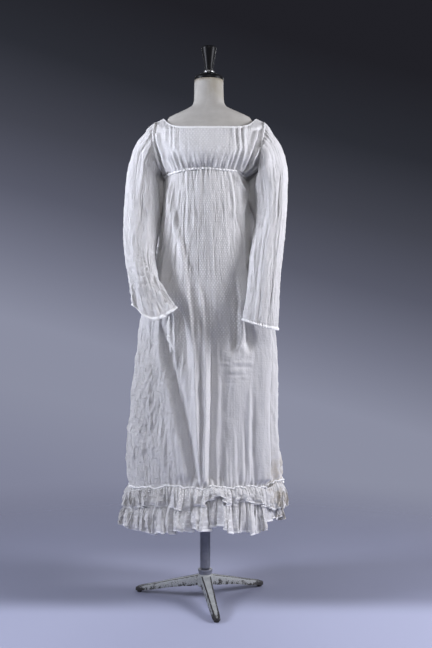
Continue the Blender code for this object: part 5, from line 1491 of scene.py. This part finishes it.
def make_bodice():
    # the whole front in one grid, from the wearer's right to the left
    half = np.concatenate([np.linspace(0, NECK_CORNER, 82), np.linspace(NECK_CORNER, 1.0, 15)[1:]])
    right, left = bodice_half(-1, True, half)[:, ::-1], bodice_half(1, True, half)
    rough = np.concatenate([right, left[:, 1:]], axis=1)
    share = np.concatenate([-half[::-1], half[1:]])
    # the lower edge follows the waist seam
    angles = SIDE_SEAM[0] * share
    lift = waist_z(angles) - WAIST_Z
    for k, part in enumerate((1.0, 0.55, 0.22)):
        rough[k, :, 2] += lift * part
    at, length = even(rough, 84)
    grid = refine(rough, at)
    rows, cols = grid.shape[:2]
    x, z = grid[..., 0], grid[..., 2]
    u = np.broadcast_to(share * 0.21, (rows, cols))
    top = grid[-1:, :, 2]
    low = grid[:1, :, 2]
    below, above = top - z, z - low
    total = np.zeros((rows, cols))
    for line, wide, out, fade_top, fade_foot in FRONT_CREASES:
        total += plain_crease(x, z, line, wide, out, fade_top, fade_foot)
    inside = ease(0.80, 0.66, np.abs(share))[None, :]
    neck_g = gathers(x, below, 0.0072, 0.0026, 0.055, 81, spread=0.45, growth=0.015) * (0.30 + 0.9 * ease(0.050, 0.075, np.abs(x)))
    waist_g = gathers(x - 0.30 * above * np.sign(x) * ease(0.0, 0.06, np.abs(x)), above, 0.0082, 0.0058, 0.040, 82, spread=0.4, growth=0.05)
    total += (neck_g * ease(0.0, 0.006, below) * 1.0 + waist_g * ease(0.0, 0.004, above)) * (0.25 + 0.75 * inside)
    total += 0.00070 * crinkle(x, z, 0.0085, 0.07, 83) + 0.0005 * noise(x / 0.012, z / 0.012, 84)
    total += 0.0010 * noise(x / 0.05, z / 0.05, 85)
    edge = np.minimum(below / 0.006, above / 0.006)
    total *= np.clip(edge, 0.25, 1.0)
    side = ease(1.0, 0.97, np.abs(share))[None, :]
    total *= side
    n = normals_of(grid, False, np.array([FORM_X, 0.03, 1.50]))
    # the turned edges under the arms stand forward
    ahead = plain_crease(x, z, [(0.182, 1.520), (0.174, 1.498), (0.161, 1.468), (0.147, 1.447), (0.134, 1.432)], 0.0070, 0.0280, 0.014, 0.004)
    ahead = ahead + plain_crease(x, z, [(-0.174, 1.540), (-0.169, 1.510), (-0.165, 1.490), (-0.155, 1.465), (-0.141, 1.434)], 0.0060, 0.0180, 0.016, 0.004)
    grid = grid - stack(0 * x, ahead * side, 0 * x)
    grid = grid + n * total[..., None] - stack(0 * total, 0.0010 * (1 - side) + 0 * total, 0 * total)
    front = shell("bodice_front_cloth", grid, u, z, MUSLIN_BODICE, centre=(FORM_X, 0.03, 1.50), stands=("bodice_front",))
    neck_front = grid[-1]
    lines = {"front": (grid[-1], grid[-4])}

    for side_, hand in ((-1, "right"), (1, "left")):
        # the back
        half_b = np.concatenate([np.linspace(0, NECK_CORNER, 52), np.linspace(NECK_CORNER, 1.0, 12)[1:]])
        rough = bodice_half(side_, False, half_b)
        at, length = even(rough, 74)
        g = refine(rough, at)
        g[:, 0, 0] += side_ * 0.0003
        rows, cols = g.shape[:2]
        x, z = g[..., 0], g[..., 2]
        below, above = g[-1:, :, 2] - z, z - g[:1, :, 2]
        s = half_b[None, :]
        height = 0.0018 * noise(x / 0.045 + 9, z / 0.06, 90 + side_) + 0.0006 * crinkle(x, z, 0.010, 0.06, 92 + side_)
        height = height + gathers(np.abs(x), above, 0.011, 0.0010, 0.02, 94, spread=0.4)
        height = height - 0.0030 * np.exp(-(((s - 0.62 - 0.20 * ease(1.45, 1.58, z)) / 0.05) ** 2)) * ease(0.0, 0.02, above) * ease(0.0, 0.03, below)
        # the closing edge is turned in, with a row of stitches beside it
        height = height + 0.0008 * np.exp(-((x / 0.007) ** 4)) - 0.0007 * np.exp(-(((np.abs(x) - 0.0095) / 0.0012) ** 2))
        height = height * ease(1.0, 0.96, s) * np.clip(np.minimum(below, above) / 0.006, 0.25, 1)
        n = normals_of(g, False, np.array([FORM_X, -0.03, 1.50]))
        g = g + n * height[..., None]
        u = np.broadcast_to(side_ * half_b * 0.19, (rows, cols))
        back = shell("bodice_back_cloth_" + hand, g, u, z, MUSLIN_BODICE, centre=(FORM_X, -0.03, 1.50), stands=("bodice_back_" + hand,))
        lines["back_" + hand] = (g[-1], g[-4])
        # the piece under the arm
        degrees = np.linspace(SIDE_SEAM[0], SIDE_SEAM[1], 44)
        low = skirt_plain(side_ * degrees, np.full(44, WAIST_Z + RIM))
        low[:, 2] += waist_z(side_ * degrees) - WAIST_Z
        high = armhole(side_, np.linspace(22.5 * 6, 22.5 * 10, 44))
        middle = (low + high) / 2 + np.array([side_ * 0.002, 0.0, 0.0])
        rough = np.array([low, middle, high])
        at, length = even(rough, 30)
        g = refine(rough, at)
        w = np.linspace(0, 1, 44)[None, :]
        t = np.linspace(0, 1, 30)[:, None]
        fan = np.sin((w - 0.5) * (26 - 12 * t) + 1.2 * noise(w * 5, t * 2, 97 + side_))
        height = (0.0024 * fan * ease(0.0, 0.25, t) + 0.0012 * noise(w * 9, t * 6, 98 + side_)) * ease(0.0, 0.08, w) * ease(1.0, 0.92, w)
        n = normals_of(g, False, np.array([FORM_X, 0.0, 1.45]))
        g = g + n * height[..., None]
        side_piece = shell("bodice_side_cloth_" + hand, g, w * 0.09 + 0 * t, g[..., 2], MUSLIN_BODICE, centre=(FORM_X, 0.0, 1.45), stands=("bodice_side_" + hand,))

    # the tape round the neckline lies on the top edge of the front and of both backs
    keep = np.abs(np.concatenate([-half[::-1], half[1:]])) <= NECK_CORNER + 1e-9
    front_top, front_low = lines["front"][0][keep], lines["front"][1][keep]
    keep_b = half_b <= NECK_CORNER + 1e-9
    rt, rl = lines["back_right"][0][keep_b][::-1], lines["back_right"][1][keep_b][::-1]
    lt, ll = lines["back_left"][0][keep_b], lines["back_left"][1][keep_b]
    # round once: front from right to left, then the back from left to right
    top_ = np.concatenate([front_top, lt[::-1][1:], rt[::-1][1:-1]])
    low_ = np.concatenate([front_low, ll[::-1][1:], rl[::-1][1:-1]])
    for _ in range(2):
        top_ = (np.roll(top_, 1, 0) + 2 * top_ + np.roll(top_, -1, 0)) / 4
        low_ = (np.roll(low_, 1, 0) + 2 * low_ + np.roll(low_, -1, 0)) / 4
    down = unit(low_ - top_)
    along = unit(np.roll(top_, -1, 0) - np.roll(top_, 1, 0))
    out = unit(np.cross(along, down))
    away = top_ - np.array([FORM_X, 0.0, 0.0]) - stack(0 * top_[:, 0], 0 * top_[:, 0], top_[:, 2] - 0.05)
    out = np.where(((out * away).sum(axis=1) < 0)[:, None], -out, out)
    a = np.linspace(-0.0012, NECK_TAPE_WIDTH * 0.92, 9)
    run = np.concatenate([[0.0], np.cumsum(np.linalg.norm(np.diff(top_, axis=0), axis=1))])
    ripple = 0.0004 * noise(run / 0.006, 0.0, 99) + 0.0003 * noise(run / 0.0028, 0.0, 100)
    crown = 0.0009 * np.sin(math.pi * np.linspace(0, 1, 9))
    grid = top_[:, None] + down[:, None] * a[None, :, None] + out[:, None] * (0.0012 + crown[None, :, None] + ripple[:, None, None])
    grid = np.swapaxes(grid, 0, 1)
    u = np.broadcast_to(np.linspace(0, NECK_TAPE_WIDTH, 9)[:, None], grid.shape[:2])
    v = np.broadcast_to(run[None, :], grid.shape[:2])
    tape = shell("neck_tape_band", grid, v, u, TAPE_WHITE, around=True, wall=0.0013, centre=(FORM_X, 0.0, 1.58), stands=("neck_tape",))
    # shoulder seams
    for side_, hand in ((-1, "right"), (1, "left")):
        corner = np.array([FORM_X + side_ * SHOULDER_PEAK[0], SHOULDER_PEAK[1], SHOULDER_PEAK[2]])
        tip = armhole(side_, 0.0)
        line = corner + (tip - corner) * np.linspace(0.03, 0.98, 14)[:, None] + np.array([0, 0, 0.0004])
        tube("shoulder_seam_" + hand, line, 0.0009, PIPING_WHITE, sides=8)


# ---------------------------------------------------------------- the form and its stand
def make_form():
    count, cols = 104, 84
    z = np.linspace(FORM["z"][0], FORM["z"][-1], count)
    a = np.radians(np.arange(cols) * 360.0 / cols)
    half, front, back, shift, round_ = (through(FORM["z"], FORM[n], z)[:, None] for n in ("half", "front", "back", "shift_x", "round"))
    deep = np.where(np.cos(a)[None, :] > 0, front, back)
    x = shift + half * power(np.sin(a)[None, :], 2 / round_)
    y = -deep * power(np.cos(a)[None, :], 2 / round_)
    # sewn seams: centre front, centre back and one each side
    groove = 0.0
    for seam in (0.0, 90.0, 180.0, 270.0):
        off = (np.degrees(a)[None, :] - seam + 180.0) % 360.0 - 180.0
        groove = groove + np.exp(-((off * np.radians(1) * 0.10 / 0.0016) ** 2))
    scale = 1 - 0.0009 / 0.10 * groove
    x, y = shift + (x - shift) * scale, y * scale
    points = np.stack(np.broadcast_arrays(x, y, z[:, None]), axis=-1)
    shape = bmesh.new()
    verts = [[shape.verts.new(p) for p in row] for row in points]
    layer = shape.loops.layers.uv.new("Cloth")
    girth = 0.55
    for r in range(count - 1):
        for c in range(cols):
            d = (c + 1) % cols
            f = shape.faces.new((verts[r][c], verts[r][d], verts[r + 1][d], verts[r + 1][c]))
            for loop, (cu, cr) in zip(f.loops, ((c, r), (c + 1, r), (c + 1, r + 1), (c, r + 1))):
                loop[layer].uv = (cu / cols * girth, z[cr])
    shape.faces.new(verts[0][::-1])
    shape.faces.new(verts[-1])
    bmesh.ops.recalc_face_normals(shape, faces=shape.faces)
    mesh = bpy.data.meshes.new("form_canvas")
    shape.to_mesh(mesh)
    shape.free()
    mesh.shade_smooth()
    mesh.materials.append(CANVAS)
    obj = bpy.data.objects.new("form_canvas", mesh)
    bpy.context.scene.collection.objects.link(obj)
    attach(obj, "root")
    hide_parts("form_torso")


def make_stand():
    pole = table(("r", "z"), [(0.0, FORM_END_Z - 0.0003), (POLE_R, FORM_END_Z - 0.0003), (POLE_R, POLE_FOOT_Z), (0.0, POLE_FOOT_Z)])
    lathe("pole_tube", pole, 64, STEEL_PAINT, stands=("stand_pole",))
    collar = table(
        ("r", "z"),
        [(0.0, 0.1013), (0.0185, 0.1013), (0.0188, 0.1030), (0.0236, 0.1030), (0.0243, 0.1015), (0.0243, 0.0960), (0.0232, 0.0945), (0.0222, 0.0935), (0.0222, 0.0860), (0.0, 0.0860)],
    )
    lathe("pole_collar", collar, 64, STEEL_PAINT, stands=("stand_collar",), fine=5)
    # the casting: three legs with raised edges, and a hub that swells into them
    parts = []
    for i in range(3):
        turn = math.radians(TRIPOD_TURN + 120.0 * i)
        along = np.array([math.sin(turn), -math.cos(turn), 0.0])
        across = np.array([math.cos(turn), math.sin(turn), 0.0])
        up = np.array([0.0, 0.0, 1.0])
        reach = np.concatenate([np.linspace(0.004, 0.245, 44), np.linspace(0.248, 0.2585, 8)])
        rings, uvs = [], []
        for q in reach:
            top, deep, ht, hl = (float(through(LEG["reach"], LEG[n], q)) for n in ("top", "deep", "half_top", "half_low"))
            swell = math.exp(-((q / 0.040) ** 2))
            end = max(0.0, (q - 0.2455) / 0.0130)
            close = math.sqrt(max(0.0, 1 - (0.86 * end) ** 2))
            ht, hl = ht * close, hl * close
            low = top - deep
            top = top - (1 - close) * 0.005 + 0.0
            rim, well = 0.0030, 0.0016 * (1 - swell)
            section = [
                (-hl, low + 0.0012, 0.7), (-hl * 0.98, low, 0.4), (hl * 0.98, low, 0.4), (hl, low + 0.0012, 0.7),
                (ht + 0.0014, top - 0.0030, 0.35), (ht + 0.0004, top - 0.0008, 1.0), (ht - 0.0010, top, 1.0), (ht - rim, top - 0.0002, 0.9),
                (ht - rim - 0.0014, top - well, 0.25), (0.0, top - well * 1.08, 0.0), (-(ht - rim - 0.0014), top - well, 0.25),
                (-(ht - rim), top - 0.0002, 0.9), (-(ht - 0.0010), top, 1.0), (-(ht + 0.0004), top - 0.0008, 1.0), (-(ht + 0.0014), top - 0.0030, 0.35),
            ]
            rings.append([along * q + across * s[0] + up * s[1] for s in section])
            uvs.append([s[2] for s in section])
        shape = bmesh.new()
        layer = shape.loops.layers.uv.new("Cloth")
        verts = [[shape.verts.new(p) for p in row] for row in rings]
        size = len(rings[0])
        for r in range(len(rings) - 1):
            for c in range(size):
                d = (c + 1) % size
                f = shape.faces.new((verts[r][c], verts[r][d], verts[r + 1][d], verts[r + 1][c]))
                for loop, (cc, rr) in zip(f.loops, ((c, r), (d, r), (d, r + 1), (c, r + 1))):
                    loop[layer].uv = (uvs[rr][cc], reach[rr])
        first, last = shape.faces.new(verts[0][::-1]), shape.faces.new(verts[-1])
        for f, q in ((first, 0.0), (last, 0.26)):
            for loop in f.loops:
                loop[layer].uv = (0.8 if q else 0.0, q)
        bmesh.ops.recalc_face_normals(shape, faces=shape.faces)
        mesh = bpy.data.meshes.new("leg_cast_%d" % i)
        shape.to_mesh(mesh)
        shape.free()
        leg = bpy.data.objects.new("leg_cast_%d" % i, mesh)
        bpy.context.scene.collection.objects.link(leg)
        parts.append(leg)
    hub = table(
        ("r", "z"),
        [(0.0, 0.0863), (0.0205, 0.0863), (0.0236, 0.0850), (0.0262, 0.0815), (0.0275, 0.0760), (0.0275, 0.0560), (0.0262, 0.0470), (0.0225, 0.0440), (0.0, 0.0440)],
    )
    body = lathe("tripod_casting", hub, 72, CAST_PAINT, stands=("stand_base",))
    layer = body.data.uv_layers["Cloth"].data
    for loop in layer:
        loop.uv = (0.15, 0.03)
    for leg in parts:
        join = body.modifiers.new("Join " + leg.name, "BOOLEAN")
        join.operation, join.solver, join.object = "UNION", "EXACT", leg
    bpy.context.view_layer.update()
    graph = bpy.context.evaluated_depsgraph_get()
    whole = bpy.data.meshes.new_from_object(body.evaluated_get(graph))
    body.modifiers.clear()
    body.data = whole
    for leg in parts:
        bpy.data.objects.remove(leg, do_unlink=True)
    whole.materials.clear()
    whole.materials.append(CAST_PAINT)
    whole.shade_smooth()
    whole.set_sharp_from_angle(angle=math.radians(38))
    for hand, i in (("front", 0), ("left", 1), ("right", 2)):
        turn = math.radians(TRIPOD_TURN + 120.0 * i)
        place = (PAD_REACH * math.sin(turn), -PAD_REACH * math.cos(turn))
        pad = table(("r", "z"), [(0.0, PAD_HEIGHT + 0.0006), (PAD_R * 0.9, PAD_HEIGHT + 0.0006), (PAD_R, PAD_HEIGHT - 0.0012), (PAD_R, 0.0010), (PAD_R * 0.90, 0.0), (0.0, 0.0)])
        lathe("foot_pad_rubber_" + hand, pad, 40, RUBBER, place, stands=("foot_pad_" + hand,), fine=4)


def make_neck():
    place = (float(FORM["shift_x"][-1]), 0.0)
    lathe("knob_turned", KNOB, 72, LACQUER, place, stands=("neck_knob",))
    lathe("knob_ring", RING, 72, NICKEL, place, stands=("neck_ring",))
    lathe("neck_disc", CAP, 72, LACQUER, place, stands=("neck_cap",))


make_form()
make_skirt()
make_trims()
make_flounces()
make_sleeves()
make_bodice()
make_neck()
make_stand()

# ---------------------------------------------------------------- floor, backdrop and lights
FLOOR_R = 7.0


def make_floor():
    shape = bmesh.new()
    bmesh.ops.create_circle(shape, cap_ends=True, segments=96, radius=FLOOR_R)
    mesh = bpy.data.meshes.new("floor")
    shape.to_mesh(mesh)
    shape.free()
    n = Nodes("floor_paper")
    where = n.node("ShaderNodeTexCoord").outputs["Object"]
    far = n.node("ShaderNodeVectorMath", operation="LENGTH")
    n.link(where, far.inputs[0])
    soft = n.noise(where, 1.6, 2.0)
    xyz = n.node("ShaderNodeSeparateXYZ")
    n.link(where, xyz.inputs[0])
    # painted light: the floor is painted paler towards the front, standing in for the light that falls there
    near = n.ramp(n.math("MULTIPLY_ADD", soft, 0.05, xyz.outputs[1]), 0.06, -0.16)
    # painted light: a pool of light, painted as a paler patch on the floor behind the stand
    painted_light_pool = n.math("MULTIPLY", n.ramp(xyz.outputs[1], 0.10, 0.22), n.ramp(xyz.outputs[1], 0.80, 0.35))
    painted_light_pool = n.math("MULTIPLY", painted_light_pool, n.math("MULTIPLY", n.ramp(xyz.outputs[0], -0.62, -0.22), n.ramp(xyz.outputs[0], 0.32, 0.02)))
    tone = n.mix(soft, (0.225, 0.236, 0.325), (0.250, 0.262, 0.350))
    tone = n.mix(n.math("MULTIPLY", painted_light_pool, 0.8), tone, (0.350, 0.362, 0.480))
    tone = n.mix(near, tone, (0.400, 0.420, 0.560))
    paper = n.solid(tone, 0.9)
    paper.inputs["Specular IOR Level"].default_value = 0.1
    clear = n.node("ShaderNodeBsdfTransparent")
    blend = n.node("ShaderNodeMixShader")
    n.link(n.ramp(far.outputs["Value"], 0.9, 2.6), blend.inputs[0])
    n.link(paper.outputs[0], blend.inputs[1])
    n.link(clear.outputs[0], blend.inputs[2])
    mesh.materials.append(n.done(blend.outputs[0]))
    floor = bpy.data.objects.new("floor", mesh)
    floor.location = (0.0, 0.0, -0.0002)
    bpy.context.scene.collection.objects.link(floor)


def make_backdrop():
    """A studio backdrop as the world: dark above, pale towards the floor."""
    world = bpy.data.worlds.new("studio")
    bpy.context.scene.world = world
    world.use_nodes = True
    tree = world.node_tree
    tree.nodes.clear()
    out = tree.nodes.new("ShaderNodeOutputWorld")
    coord = tree.nodes.new("ShaderNodeTexCoord")
    parts = tree.nodes.new("ShaderNodeSeparateXYZ")
    tree.links.new(coord.outputs["Generated"], parts.inputs[0])
    ramp = tree.nodes.new("ShaderNodeValToRGB")
    # the light on the backdrop climbs towards the left hand of the picture
    slope = tree.nodes.new("ShaderNodeMath")
    slope.operation = "MULTIPLY_ADD"
    slope.inputs[1].default_value = 0.28
    tree.links.new(parts.outputs[0], slope.inputs[0])
    tree.links.new(parts.outputs[2], slope.inputs[2])
    scale = tree.nodes.new("ShaderNodeMapRange")
    scale.inputs["From Min"].default_value = -0.35
    scale.inputs["From Max"].default_value = 0.35
    tree.links.new(slope.outputs[0], scale.inputs["Value"])
    tree.links.new(scale.outputs[0], ramp.inputs[0])
    stops = [(0.08, (0.205, 0.214, 0.300)), (0.20, (0.225, 0.236, 0.325)), (0.32, (0.262, 0.275, 0.362)), (0.42, (0.262, 0.275, 0.362)), (0.52, (0.175, 0.184, 0.248)), (0.62, (0.098, 0.103, 0.142)), (0.72, (0.056, 0.059, 0.079)), (0.83, (0.025, 0.027, 0.036)), (0.95, (0.015, 0.015, 0.020))]
    while len(ramp.color_ramp.elements) < len(stops):
        ramp.color_ramp.elements.new(0.5)
    for element, (place, color) in zip(ramp.color_ramp.elements, stops):
        element.position = place
        element.color = (*color, 1.0)
    seen = tree.nodes.new("ShaderNodeBackground")
    tree.links.new(ramp.outputs[0], seen.inputs[0])
    lit = tree.nodes.new("ShaderNodeBackground")
    lit.inputs[0].default_value = (0.93, 0.94, 0.98, 1.0)
    lit.inputs[1].default_value = 0.10
    path = tree.nodes.new("ShaderNodeLightPath")
    mix = tree.nodes.new("ShaderNodeMixShader")
    tree.links.new(path.outputs["Is Camera Ray"], mix.inputs[0])
    tree.links.new(lit.outputs[0], mix.inputs[1])
    tree.links.new(seen.outputs[0], mix.inputs[2])
    tree.links.new(mix.outputs[0], out.inputs[0])


def lamp(name, place, aim, size, power_, color, spread=180.0):
    data = bpy.data.lights.new(name, "AREA")
    data.shape = "RECTANGLE"
    data.size, data.size_y = size
    data.energy = power_
    data.color = color
    data.spread = math.radians(spread)
    obj = bpy.data.objects.new(name, data)
    obj.location = place
    obj.rotation_euler = (Vector(aim) - Vector(place)).to_track_quat("-Z", "Y").to_euler()
    bpy.context.scene.collection.objects.link(obj)


make_floor()
make_backdrop()
lamp("left_softbox", (-2.45, -0.78, 2.00), (0.0, 0.0, 1.45), (0.8, 1.0), 67.5, (0.85, 0.875, 1.0))
lamp("left_spot", (-2.38, -0.80, 1.74), (0.0, 0.0, 1.60), (0.8, 1.0), 2.0, (0.87, 0.905, 1.0), 58.0)
lamp("right_softbox", (2.45, -0.68, 1.75), (0.0, 0.0, 0.90), (0.8, 1.2), 72.0, (0.92, 0.920, 1.0))
lamp("right_edge", (2.60, -0.35, 1.70), (0.0, 0.0, 1.20), (1.0, 1.2), 5.0, (0.93, 0.945, 1.0))
lamp("front_fill", (0.3, -4.0, 3.2), (0.0, 0.0, 1.30), (2.0, 1.4), 41.5, (0.99, 0.97, 0.99))
lamp("back_fill", (0.3, 3.6, 2.0), (0.0, 0.0, 0.95), (2.4, 2.0), 46.0, (0.97, 0.98, 1.0))

view = bpy.context.scene.view_settings
view.view_transform = "Standard"
view.look = "None"
view.exposure = 0.0
view.gamma = 1.0
